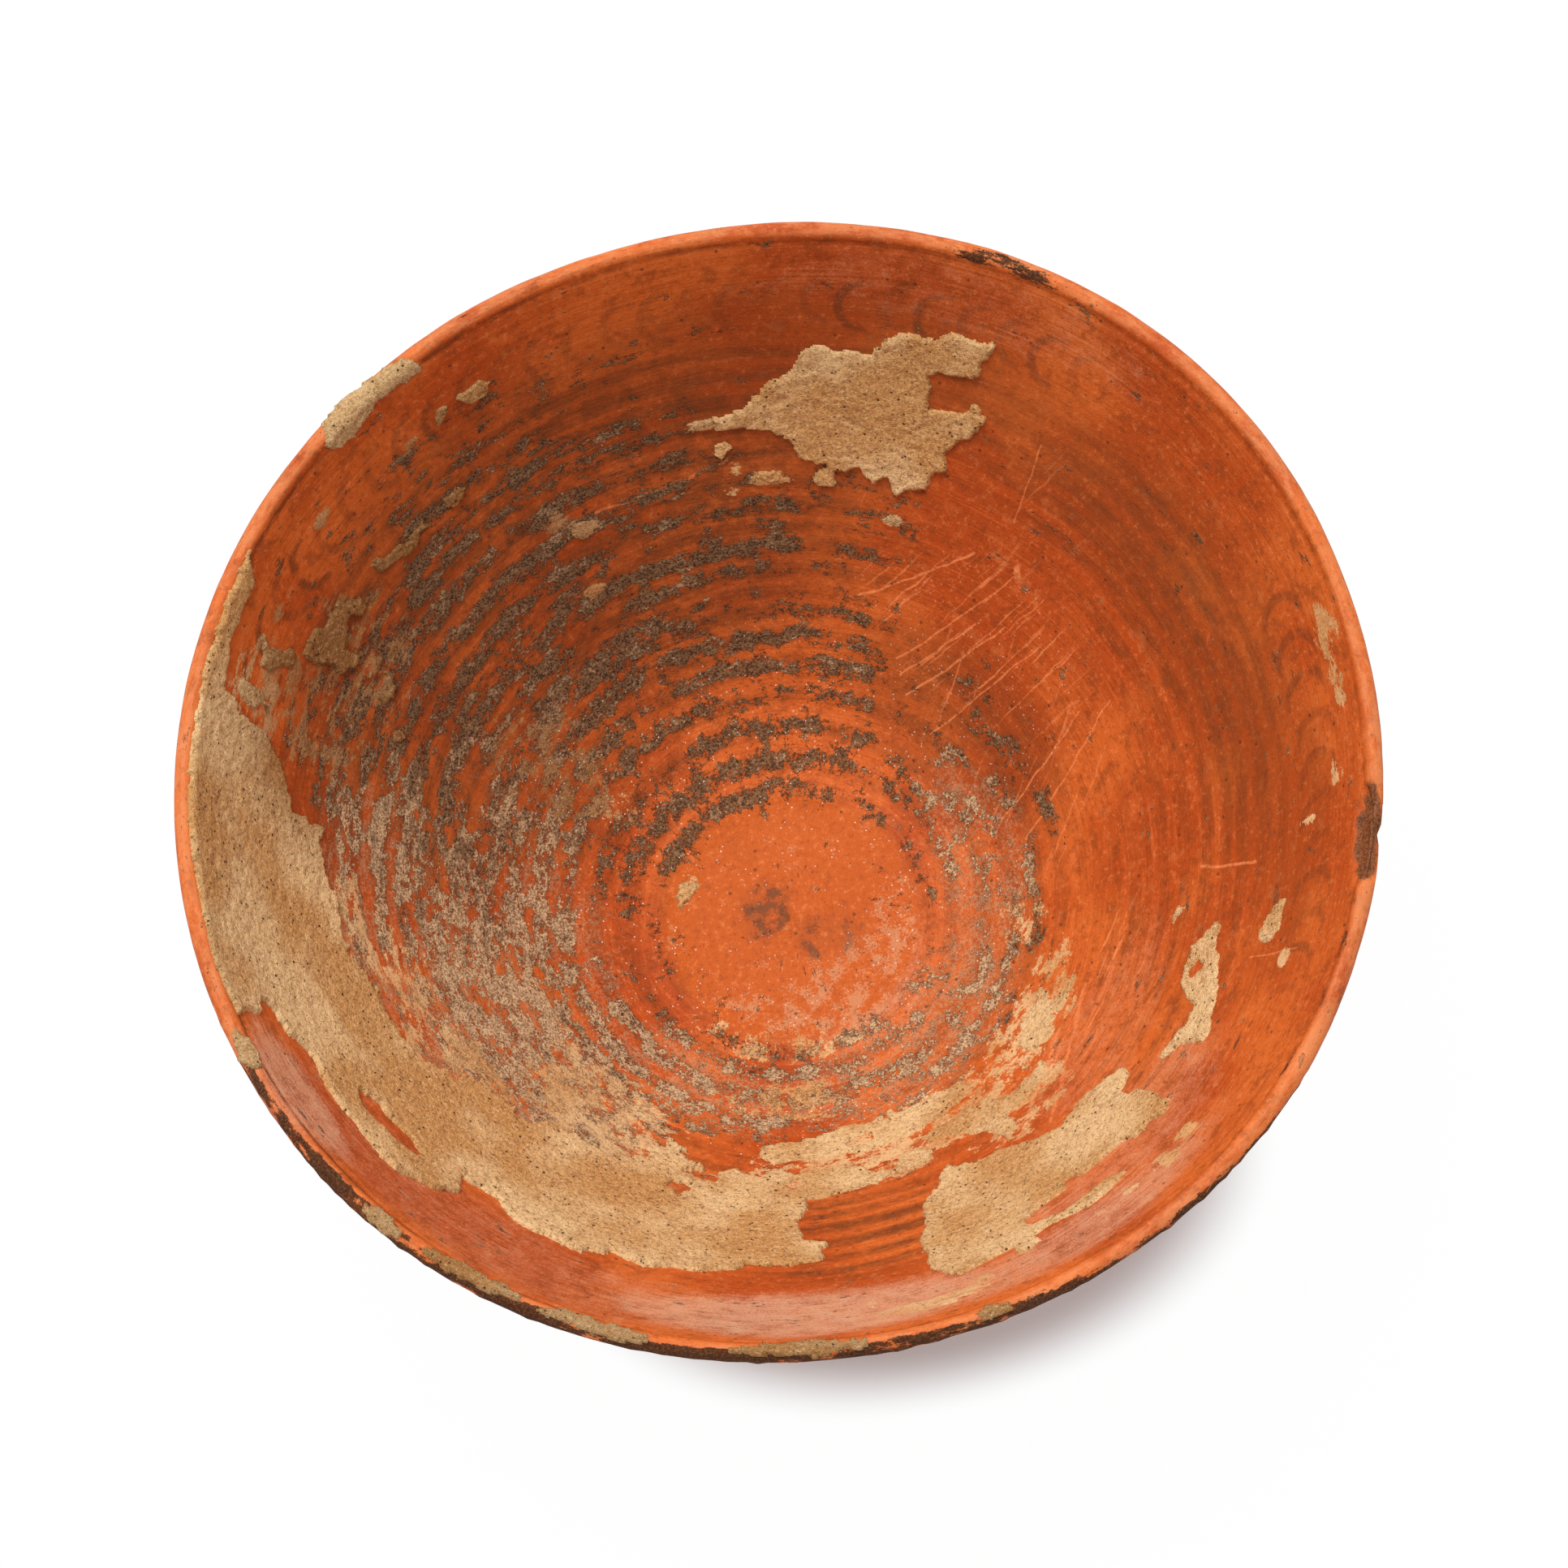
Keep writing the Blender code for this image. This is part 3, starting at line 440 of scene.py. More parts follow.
        (256, 99.6), (260, 98.8), (265, 98.7), (269.4, 99.2), (269.6, 100.6), (266, 101.2), (261, 101),
        (256.4, 100.8),
    ], []),
    ("crust_lip_near_6", 1, [
        (279.2, 99.8), (281, 99.1), (283.4, 99.5), (283.4, 100.8), (281, 101.3),
    ], []),
]


def eased(value, low, high):
    """0 below low, 1 above high, with a smooth step between."""
    t = np.clip((np.asarray(value, float) - low) / (high - low), 0.0, 1.0)
    return t * t * (3 - 2 * t)


def bent_run(start, start_heading, start_hold, end, end_heading, end_hold):
    """Points and headings along a smooth curve between two headed points, start left out."""
    start, end = np.array(start), np.array(end)
    chord = np.linalg.norm(end - start)
    ahead = np.array((math.cos(start_heading), math.sin(start_heading)))
    behind = np.array((math.cos(end_heading), math.sin(end_heading)))
    a, b, c, d = start, start + chord * start_hold * ahead, end - chord * end_hold * behind, end
    run = []
    for t in np.linspace(0, 1, CURVE_STEPS + 1)[1:]:
        u = 1 - t
        place = u**3 * a + 3 * u * u * t * b + 3 * u * t * t * c + t**3 * d
        slope = u * u * (b - a) + 2 * u * t * (c - b) + t * t * (d - c)
        run.append((*place, math.atan2(slope[1], slope[0])))
    run[-1] = (*end, end_heading)
    return run


def lip_run(first, last, steps=BEAD_STEPS):
    """Points and headings round the lip's bead, between two angles in degrees, first left out."""
    run = []
    for degrees in np.linspace(first, last, steps + 1)[1:]:
        angle = math.radians(degrees)
        run.append((RIM_RADIUS - LIP_BEAD_RADIUS + LIP_BEAD_RADIUS * math.cos(angle),
                    HEIGHT - LIP_BEAD_RADIUS + LIP_BEAD_RADIUS * math.sin(angle), angle - math.pi / 2))
    return run


def straight_run(start, end, heading):
    """Points along a straight line, start left out."""
    start, end = np.array(start), np.array(end)
    return [(*(start + t * (end - start)), heading) for t in np.linspace(0, 1, LINE_STEPS + 1)[1:]]


def vessel_profile():
    """Radius, height, heading and station along the vessel's whole skin, and the run to the lip's crest."""
    rising, falling = math.radians(BELLY_SLOPE), math.radians(BELLY_SLOPE - 180)
    flat_end = (FLOOR_FLAT_RADIUS, FLOOR_THICKNESS)
    belly = (BELLY_RADIUS, FLOOR_THICKNESS + BELLY_RISE)
    belly_outside = (belly[0] + WALL_THICKNESS * math.sin(rising),
                     belly[1] - WALL_THICKNESS * math.cos(rising))
    lip_start = lip_run(90, 90 + LIP_SLOPE, 1)[0][:2]
    foot_top, foot_low = (FOOT_RADIUS, FOOT_HEIGHT), (FOOT_RADIUS, FOOT_CHAMFER)
    foot_edge = (FOOT_RADIUS - FOOT_CHAMFER, 0.0)

    run = [(0.0, FLOOR_THICKNESS, 0.0)]
    run += straight_run(run[0][:2], flat_end, 0.0)
    run += bent_run(flat_end, 0.0, FLOOR_HOLD, belly, rising, BELLY_HOLD_BELOW)
    run += bent_run(belly, rising, BELLY_HOLD_ABOVE, lip_start, math.radians(LIP_SLOPE), LIP_HOLD)
    run += lip_run(90 + LIP_SLOPE, 90)
    crest = len(run) - 1
    run += lip_run(90, LIP_SLOPE - 90)
    under_lip = (run[-1][:2], math.radians(LIP_SLOPE - 180))
    run += bent_run(*under_lip, LIP_HOLD, belly_outside, falling, BELLY_HOLD_ABOVE)
    run += bent_run(belly_outside, falling, BELLY_HOLD_BELOW, foot_top, -math.pi, FLOOR_HOLD)
    run += straight_run(foot_top, foot_low, -math.pi / 2)
    run += straight_run(foot_low, foot_edge, -math.pi * 0.75)
    run += straight_run(foot_edge, (0.0, 0.0), -math.pi)
    radius, height, heading = np.array(run).T
    length = np.concatenate(([0.0], np.cumsum(np.hypot(np.diff(radius), np.diff(height)))))
    return radius, height, heading, 100 * length / length[crest], length[crest]


RADIUS, TALLNESS, HEADING, STATION, INSIDE_RUN = vessel_profile()
SLIP_END = float(STATION[len(STATION) - np.argmax(TALLNESS[::-1] > SLIP_END_HEIGHT)])


def on_bowl(clock, station, lift=0.0):
    """Points in metres on the bowl's skin, lifted off it by millimetres along its normal."""
    radius = np.interp(station, STATION, RADIUS)
    height = np.interp(station, STATION, TALLNESS)
    heading = np.interp(station, STATION, HEADING)
    radius = radius - lift * np.sin(heading)
    height = height + lift * np.cos(heading)
    upper = eased(height, LEAN_HEIGHT, HEIGHT)
    for count, size, crest in RIM_WAVES:
        wave = size * np.cos(np.radians(count * (clock - crest)))
        radius = radius + upper * wave * (radius > BELLY_RADIUS)
    angle = np.radians(clock)
    return MM * np.stack((radius * np.cos(angle) + LEAN[0] * (1 - upper),
                          radius * np.sin(angle) + LEAN[1] * (1 - upper), height), axis=-1)


def grain(points, size, seed=0.0):
    """Smooth noise from -1 to 1 at points in metres, with features of a size in millimetres and a seed."""
    scaled = np.asarray(points) / (size * MM) + seed
    return np.array([noise.noise(Vector(point)) for point in scaled])


def turn_from(clock, middle):
    """Degrees from one clock angle to others, the short way round."""
    return (clock - middle + 180) % 360 - 180


def zone_weight(name, clock, station):
    """Weight of a soft zone at places on the bowl."""
    weight = np.zeros(np.broadcast(clock, station).shape)
    for middle, level, half_turn, half_run, strength in ZONES[name]:
        near = 1 - (turn_from(clock, middle) / half_turn) ** 2 - ((station - level) / half_run) ** 2
        weight = np.maximum(weight, strength * eased(near, 0.0, ZONE_EDGE))
    return weight


def grit_cover(clock, station):
    """How much grit lies at places on the bowl, along its arcs."""
    cover = np.zeros(np.shape(station))
    for middle, half, first, last, weight in GRIT_ARCS:
        turn = np.abs(turn_from(clock, (first + last) / 2))
        length = 1 - eased(turn, (last - first) / 2 - GRIT_TAPER, (last - first) / 2 + GRIT_TAPER)
        inner, outer = np.multiply(half, GRIT_EDGE)
        across = 1 - eased(np.abs(station - middle), inner, outer)
        cover = np.maximum(cover, weight * length * across)
    return cover


def band_cover(station):
    """How far a station lies in a painted band, from 0 to 1."""
    cover = np.zeros(np.shape(station))
    for middle, half, strength in BANDS:
        inner, outer = np.multiply(half, BAND_EDGE)
        cover = np.maximum(cover, strength * (1 - eased(np.abs(station - middle), inner, outer)))
    return cover


def worn_layers(clock, station, points):
    """Weights that the vessel's finish reads: bands and grit with a wavering edge, and the soft zones."""
    wavered = station + 0.9 * grain(points, 26, 71.0) + 0.35 * grain(points, 8, 73.0)
    layers = {name: zone_weight(name, clock, station) for name in ZONES}
    layers["band"] = band_cover(wavered)
    layers["grit"] = grit_cover(clock, station + 0.5 * grain(points, 14, 75.0))
    return layers


def finished_piece(name, shape, material, slot, *nodes):
    """An object of a bmesh that rides on the bowl and stands for solids."""
    mesh = bpy.data.meshes.new(name)
    shape.to_mesh(mesh)
    shape.free()
    mesh.materials.append(material)
    mesh.shade_smooth()
    piece = bpy.data.objects.new(name, mesh)
    bpy.context.scene.collection.objects.link(piece)
    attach(piece, "root")
    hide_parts(*nodes)


def vessel_stations():
    """Stations of the vessel's rings: close inside and round the lip, wider on the outside."""
    over_lip = float(STATION[np.argmax(TALLNESS) + BEAD_STEPS])
    last = float(STATION[-1])
    corners = [float(STATION[-1 - count * LINE_STEPS]) for count in (1, 2, 3)]
    inside = np.arange(0, LIP_START, INSIDE_STEP)
    lip = np.arange(LIP_START, over_lip, LIP_STEP)
    outside = np.arange(over_lip, last, OUTSIDE_STEP)
    return sorted({round(float(s), 4) for s in (*inside, *lip, *outside, *corners, last)})


def vessel_relief(station, points, layers):
    """Lift of the vessel's skin in millimetres: throwing rings, lip groove, grit, dents and the chip."""
    rings = 0.03 * np.sin(station * 2.1 + 1.5 * grain(points, 60)) * eased(station, 12, 25)
    dents = 0.22 * grain(points, 28, 3.0) + 0.08 * grain(points, 9, 7.0)
    groove = -0.22 * np.exp(-((station - 97.8) / 0.6) ** 2)
    rough = np.maximum(0.0, 0.25 + grain(points, 1.6, 11.0) + 0.5 * grain(points, 3.5, 13.0))
    grit = 0.28 * layers["grit"] * rough
    turned_outside = 0.12 * np.sin(station * 0.9)
    lift = np.where(station < 99, rings + groove + grit, turned_outside) + dents
    lift = lift * eased(STATION[-1] - station, 0, 30)
    worn = np.minimum(0.0, grain(points, 4.0, 17.0)) * np.exp(-((station - 100) / 2.0) ** 2)
    chip = eased(layers["chip"] + 0.25 * grain(points, 3.0, 19.0), 0.25, 0.6)
    chip = chip * (1.2 + 0.5 * grain(points, 1.6, 23.0))
    soiled = layers["dirt_and_shade"] * np.maximum(0.0, grain(points, 2.4, 29.0) + 0.5 * grain(points, 1.2, 37.0))
    caked = eased(layers["film"] + 0.35 * grain(points, 2.5, 67.0), 0.6, 0.9)
    caked = caked * (1 + 0.6 * grain(points, 1.5, 79.0))
    return lift + 0.25 * worn - 1.3 * chip + 0.5 * soiled + 0.35 * caked


def turned_shape():
    """The profile turned once round the axis, each point marked with its station."""
    shape = bmesh.new()
    mark = shape.verts.layers.float.new("station")
    profile = []
    for station in vessel_stations():
        radius, height = np.interp(station, STATION, RADIUS), np.interp(station, STATION, TALLNESS)
        point = shape.verts.new((radius * MM, 0.0, height * MM))
        point[mark] = station
        profile.append(point)
    edges = [shape.edges.new(pair) for pair in zip(profile, profile[1:])]
    bmesh.ops.spin(shape, geom=profile + edges, cent=(0, 0, 0), axis=(0, 0, 1), angle=math.tau,
                   steps=TURN_STEPS, use_merge=True)
    bmesh.ops.remove_doubles(shape, verts=shape.verts[:], dist=WELD)
    bmesh.ops.recalc_face_normals(shape, faces=shape.faces[:])
    return shape, np.array([point[mark] for point in shape.verts])


def unroll_skin(shape, clock, station):
    """Lays the skin out flat for the finish: turns to the right, hundreds of stations upwards."""
    unroll = shape.loops.layers.uv.new("unroll")
    shape.verts.index_update()
    for face in shape.faces:
        on_axis = [corner.vert.co.xy.length <= AXIS_REACH for corner in face.loops]
        turns = [clock[corner.vert.index] for corner in face.loops]
        away = [turn for turn, middle in zip(turns, on_axis) if not middle]
        if max(away) - min(away) > 180:
            turns = [turn + 360 if turn < 180 else turn for turn in turns]
            away = [turn for turn, middle in zip(turns, on_axis) if not middle]
        for turn, middle, corner in zip(turns, on_axis, face.loops):
            turn = sum(away) / len(away) if middle else turn
            corner[unroll].uv = (turn / 360, station[corner.vert.index] / 100)


def thrown_vessel(material):
    """The clay body with its slip, turned from one profile and then worn."""
    shape, station = turned_shape()
    clock = np.array([math.degrees(math.atan2(point.co.y, point.co.x)) % 360 for point in shape.verts])
    resting = on_bowl(clock, station)
    layers = worn_layers(clock, station, resting)
    placed = on_bowl(clock, station, vessel_relief(station, resting, layers))
    under_foot = station > STATION[-2 - 2 * LINE_STEPS]
    placed[:, 2] = np.where(under_foot, resting[:, 2], placed[:, 2])
    for name, weights in layers.items():
        layer = shape.verts.layers.float.new(name)
        for point, weight in zip(shape.verts, weights):
            point[layer] = weight
    unroll_skin(shape, clock, station)
    for point, place in zip(shape.verts, placed):
        point.co = place
    finished_piece("vessel", shape, material, "red_slip", "clay_body", "slip_coat")


def outline_depth(clock, station, outline):
    """Signed distance in millimetres to an outline, positive inside it."""
    across = np.radians(1.0) * np.interp(station, STATION, RADIUS)
    along = INSIDE_RUN / 100
    nearest = np.full(len(clock), np.inf)
    inside = np.zeros(len(clock), bool)
    for (a_clock, a_station), (b_clock, b_station) in zip(outline, outline[1:] + outline[:1]):
        px, py = (clock - a_clock) * across, (station - a_station) * along
        ex, ey = (b_clock - a_clock) * across, (b_station - a_station) * along
        share = np.clip((px * ex + py * ey) / np.maximum(ex * ex + ey * ey, TINY), 0, 1)
        nearest = np.minimum(nearest, np.hypot(px - share * ex, py - share * ey))
        straddles = (a_station > station) != (b_station > station)
        rise = b_station - a_station if b_station != a_station else TINY
        crossing = a_clock + (station - a_station) / rise * (b_clock - a_clock)
        inside ^= straddles & (clock < crossing)
    return np.where(inside, nearest, -nearest)


def trim_sheet(shape):
    """Takes loose points off a sheet, and points where two parts of it only touch, until none is left."""
    while True:
        faulty = [point for point in shape.verts
                  if not point.link_faces or sum(edge.is_boundary for edge in point.link_edges) > 2]
        if not faulty:
            return
        bmesh.ops.delete(shape, geom=faulty, context="VERTS")


def crust_sheet(outline):
    """A sheet of cells over an outline, and the resting place, clock angle and station of each point."""
    clocks = [clock for clock, _ in outline]
    stations = [station for _, station in outline]
    low_run, high_run = min(stations) - CRUST_MARGIN, max(stations) + CRUST_MARGIN
    reach = np.interp(np.mean(stations), STATION, RADIUS)
    margin_turn = math.degrees(CRUST_MARGIN / reach)
    low_turn, high_turn = min(clocks) - margin_turn, max(clocks) + margin_turn
    width, run = math.radians(high_turn - low_turn) * reach, (high_run - low_run) / 100 * INSIDE_RUN
    cell = min(CRUST_CELL, max(width, run) / CRUMB_CELLS)
    columns, rows = int(width / cell), int(run / cell)
    shape = bmesh.new()
    bmesh.ops.create_grid(shape, x_segments=columns, y_segments=rows, size=0.5)
    flat = np.array([point.co for point in shape.verts])
    clock = low_turn + (flat[:, 0] + 0.5) * (high_turn - low_turn)
    station = low_run + (flat[:, 1] + 0.5) * (high_run - low_run)
    resting = on_bowl(clock, station)
    clock = clock + CELL_SHIFT * (high_turn - low_turn) / columns * grain(resting, 0.9, 21.0)
    station = station + CELL_SHIFT * (high_run - low_run) / rows * grain(resting, 0.9, 31.0)
    return shape, resting, clock, station


def crust_relief(depth, thickness, resting):
    """Lift of a crust's top in millimetres: steep at the edge, lumpy, rough and pitted."""
    height = 0.8 * thickness * (1 - np.exp(-np.maximum(depth, 0) / 0.16))
    height *= 0.9 + 0.2 * grain(resting, 9.0, 47.0)
    rough = 0.26 * grain(resting, 1.3, 53.0) + 0.16 * grain(resting, 2.8, 59.0)
    rough = rough + 0.08 * grain(resting, 0.6, 83.0)
    height += eased(depth, 0.0, 0.5) * rough
    pits = np.maximum(0.0, grain(resting, 2.2, 61.0) - 0.45)
    return np.maximum(0.1, height - 1.1 * pits * eased(depth, 0.4, 1.2))


def earth_crust(name, thickness, outline, windows, material):
    """One crust: a sheet laid on the wall, torn off along a ragged outline and given a closed underside."""
    shape, resting, clock, station = crust_sheet(outline)
    depth = outline_depth(clock, station, outline)
    for window in windows:
        depth = np.minimum(depth, -outline_depth(clock, station, window))
    ragged = 0.8 * grain(resting, 3.4, 41.0) + 0.8 * grain(resting, 1.5, 43.0)
    depth = depth + ragged * (0.8 + 2.2 * zone_weight("bloom", clock, station))
    height = crust_relief(depth, thickness, resting)

    # Each point keeps its index and the weight of the painted shade on it
    spot, damp = shape.verts.layers.int.new("spot"), shape.verts.layers.float.new("damp")
    for index, (point, weight) in enumerate(zip(shape.verts, zone_weight("damp", clock, station))):
        point[spot], point[damp] = index, weight
    outside = [point for point, inward in zip(shape.verts[:], depth) if inward < 0]
    bmesh.ops.delete(shape, geom=outside, context="VERTS")
    trim_sheet(shape)
    for point in shape.verts:
        if point.is_boundary:
            height[point[spot]] = CRUST_EDGE
    above = shape.verts[:]
    grown = bmesh.ops.extrude_face_region(shape, geom=shape.faces[:], use_keep_orig=True)["geom"]
    below = [item for item in grown if isinstance(item, bmesh.types.BMVert)]
    for points, lift in ((above, height), (below, CRUST_SEAT)):
        places = on_bowl(clock, station, lift)
        for point in points:
            point.co = places[point[spot]]
    shape.verts.layers.int.remove(spot)
    finished_piece("dried_" + name, shape, material, "dried_earth", name)


def linear(red, green, blue):
    """A colour in 0 to 255 as the shader's linear values."""
    channels = [value / 255 for value in (red, green, blue)]
    return (*[c / 12.92 if c <= 0.04045 else ((c + 0.055) / 1.055) ** 2.4 for c in channels], 1.0)


class Field:
    """A value in a tree of nodes. Sums and products of fields add the Math nodes that work them out."""

    def __init__(self, owner, socket):
        self.owner = owner
        self.socket = socket

    def maths(self, operation, first, second=0.0):
        return self.owner.node("ShaderNodeMath", {"operation": operation}, {0: first, 1: second})

    def __add__(self, other):
        return self.maths("ADD", self, other)

    def __radd__(self, other):
        return self.maths("ADD", other, self)

    def __sub__(self, other):
        return self.maths("SUBTRACT", self, other)

    def __rsub__(self, other):
        return self.maths("SUBTRACT", other, self)

    def __mul__(self, other):
        return self.maths("MULTIPLY", self, other)

    def __rmul__(self, other):
        return self.maths("MULTIPLY", other, self)

    def __abs__(self):
        return self.maths("ABSOLUTE", self)

    def larger(self, other):
        return self.maths("MAXIMUM", self, other)

    def smaller(self, other):
        return self.maths("MINIMUM", self, other)

    def eased(self, low, high):
        """0 at low and 1 at high, with a smooth step between; low may be the larger."""
        return self.owner.node("ShaderNodeMapRange", {"interpolation_type": "SMOOTHSTEP"},
                               {"Value": self, "From Min": low, "From Max": high})


class NodeTree:
    """The nodes of a material or of the world."""

    def __init__(self, tree):
        self.tree = tree

    def node(self, kind, settings=None, sockets=None, output=0):
        """A node of any kind with its settings and its sockets' values or links, as a field."""
        node = self.tree.nodes.new(kind)
        for name, value in (settings or {}).items():
            setattr(node, name, value)
        for name, value in (sockets or {}).items():
            self.put(value, node.inputs[name])
        return Field(self, node.outputs[output])

    def put(self, value, socket):
        """Links a field to a socket, or sets the socket to a plain value."""
        if isinstance(value, Field):
            self.tree.links.new(value.socket, socket)
        else:
            socket.default_value = value

    def seen(self):
        """1 for camera, glossy and transmission rays, and 0 for all others."""
        camera_ray, glossy, through = [self.node("ShaderNodeLightPath", output=f"Is {kind} Ray")
                                       for kind in ("Camera", "Glossy", "Transmission")]
        return camera_ray.larger(glossy).larger(through)


class Finish(NodeTree):
    """A material under construction."""

    def __init__(self, name):
        self.material = bpy.data.materials.new(name)
        self.material.use_nodes = True
        super().__init__(self.material.node_tree)
        self.shader = self.tree.nodes["Principled BSDF"]

    def feed(self, **inputs):
        """Gives the shader fields or plain values, each by its socket's name with _ for a space."""
        for name, value in inputs.items():
            self.put(value, self.shader.inputs[name.replace("_", " ")])

    def vector(self, operation, *inputs, output=0):
        """Vector maths on up to three vectors."""
        return self.node("ShaderNodeVectorMath", {"operation": operation}, dict(enumerate(inputs)), output)

    def scaled(self, vector, share):
        """A vector times a plain value or a field."""
        return self.node("ShaderNodeVectorMath", {"operation": "SCALE"}, {0: vector, "Scale": share})

    def place(self):
        """Object coordinates in millimetres."""
        return self.scaled(self.node("ShaderNodeTexCoord", output="Object"), 1 / MM)

    def zone(self, name):
        """A soft zone painted on the mesh."""
        return self.node("ShaderNodeAttribute", {"attribute_name": name}, output="Fac")

    def speckle(self, place, size, detail, roughness=0.55):
        """Smooth noise from 0 to 1 with features of a size in the place's own units."""
        return self.node("ShaderNodeTexNoise", {"normalize": True},
                         {"Vector": place, "Scale": 1.0 / size, "Detail": detail, "Roughness": roughness})

    def cells(self, place, size):
        """Distance to the middle of scattered cells of a size."""
        return self.node("ShaderNodeTexVoronoi", {}, {"Vector": place, "Scale": 1.0 / size}, "Distance")

    def moved(self, place, distance):
        """The same place, moved so that its noise differs."""
        return self.vector("ADD", place, (distance,) * 3)

    def near_line(self, plan, first, last):
        """Distance in plan to a straight line between two points."""
        first, last = Vector((*first[:2], 0)), Vector((*last[:2], 0))
        along = (last - first) / (last - first).length_squared
        start = self.vector("SUBTRACT", plan, first)
        share = self.vector("DOT_PRODUCT", start, along, output="Value").larger(0.0).smaller(1.0)
        foot = self.scaled(last - first, share)
        return self.vector("DISTANCE", start, foot, output="Value")

    def blend(self, below, above, share):
        """One colour over another, each a field or a name in the palette."""
        below, above = [linear(*PALETTE[colour]) if isinstance(colour, str) else colour
                        for colour in (below, above)]
        return self.node("ShaderNodeMix", {"data_type": "RGBA"},
                         {MIX_SHARE: share, MIX_BELOW: below, MIX_ABOVE: above}, MIX_RESULT)

    def coats(self, colour, **shares):
        """Colours of the palette over another colour, one after the other, each by its share."""
        for above, share in shares.items():
            colour = self.blend(colour, above, share)
        return colour

    def raise_surface(self, height, distance):
        """Bump from a height field, in millimetres of distance."""
        self.feed(Normal=self.node("ShaderNodeBump", {}, {"Height": height, "Distance": distance * MM}))

    def earth_tone(self, place):
        """Colour and height of dried earth: tan sand, darker and browner where shade is painted, with pale
        grains, and pores that are sunk and darkened with painted shade.
        """
        drift = self.speckle(place, 24.0, 2.0)
        clods = self.speckle(place, 2.2, 4.0, 0.7)
        sand = self.speckle(place, 0.7, 3.0, 0.85)
        # Weight of the painted shade on the earth, which also thins the pale grains
        damp = self.zone("damp")
        # Pores, sunk in the height and darkened with painted shade
        pores = self.cells(place, 1.7).eased(0.20, 0.10) * clods.eased(0.58, 0.44)
        colour = self.coats(
            self.blend("deep_earth", "light_earth", drift.eased(0.38, 0.62)),
            damp_earth=damp * 0.8,
            earth_clod=clods.eased(0.50, 0.34) * 0.45,
            dark_sand=sand.eased(0.49, 0.34) * 0.6,
            pale_sand=sand.eased(0.54, 0.66) * (0.65 - damp * 0.35),
            earth_pore=pores * 0.9)
        return colour, clods * 0.9 + sand * 1.1 - pores * 0.6


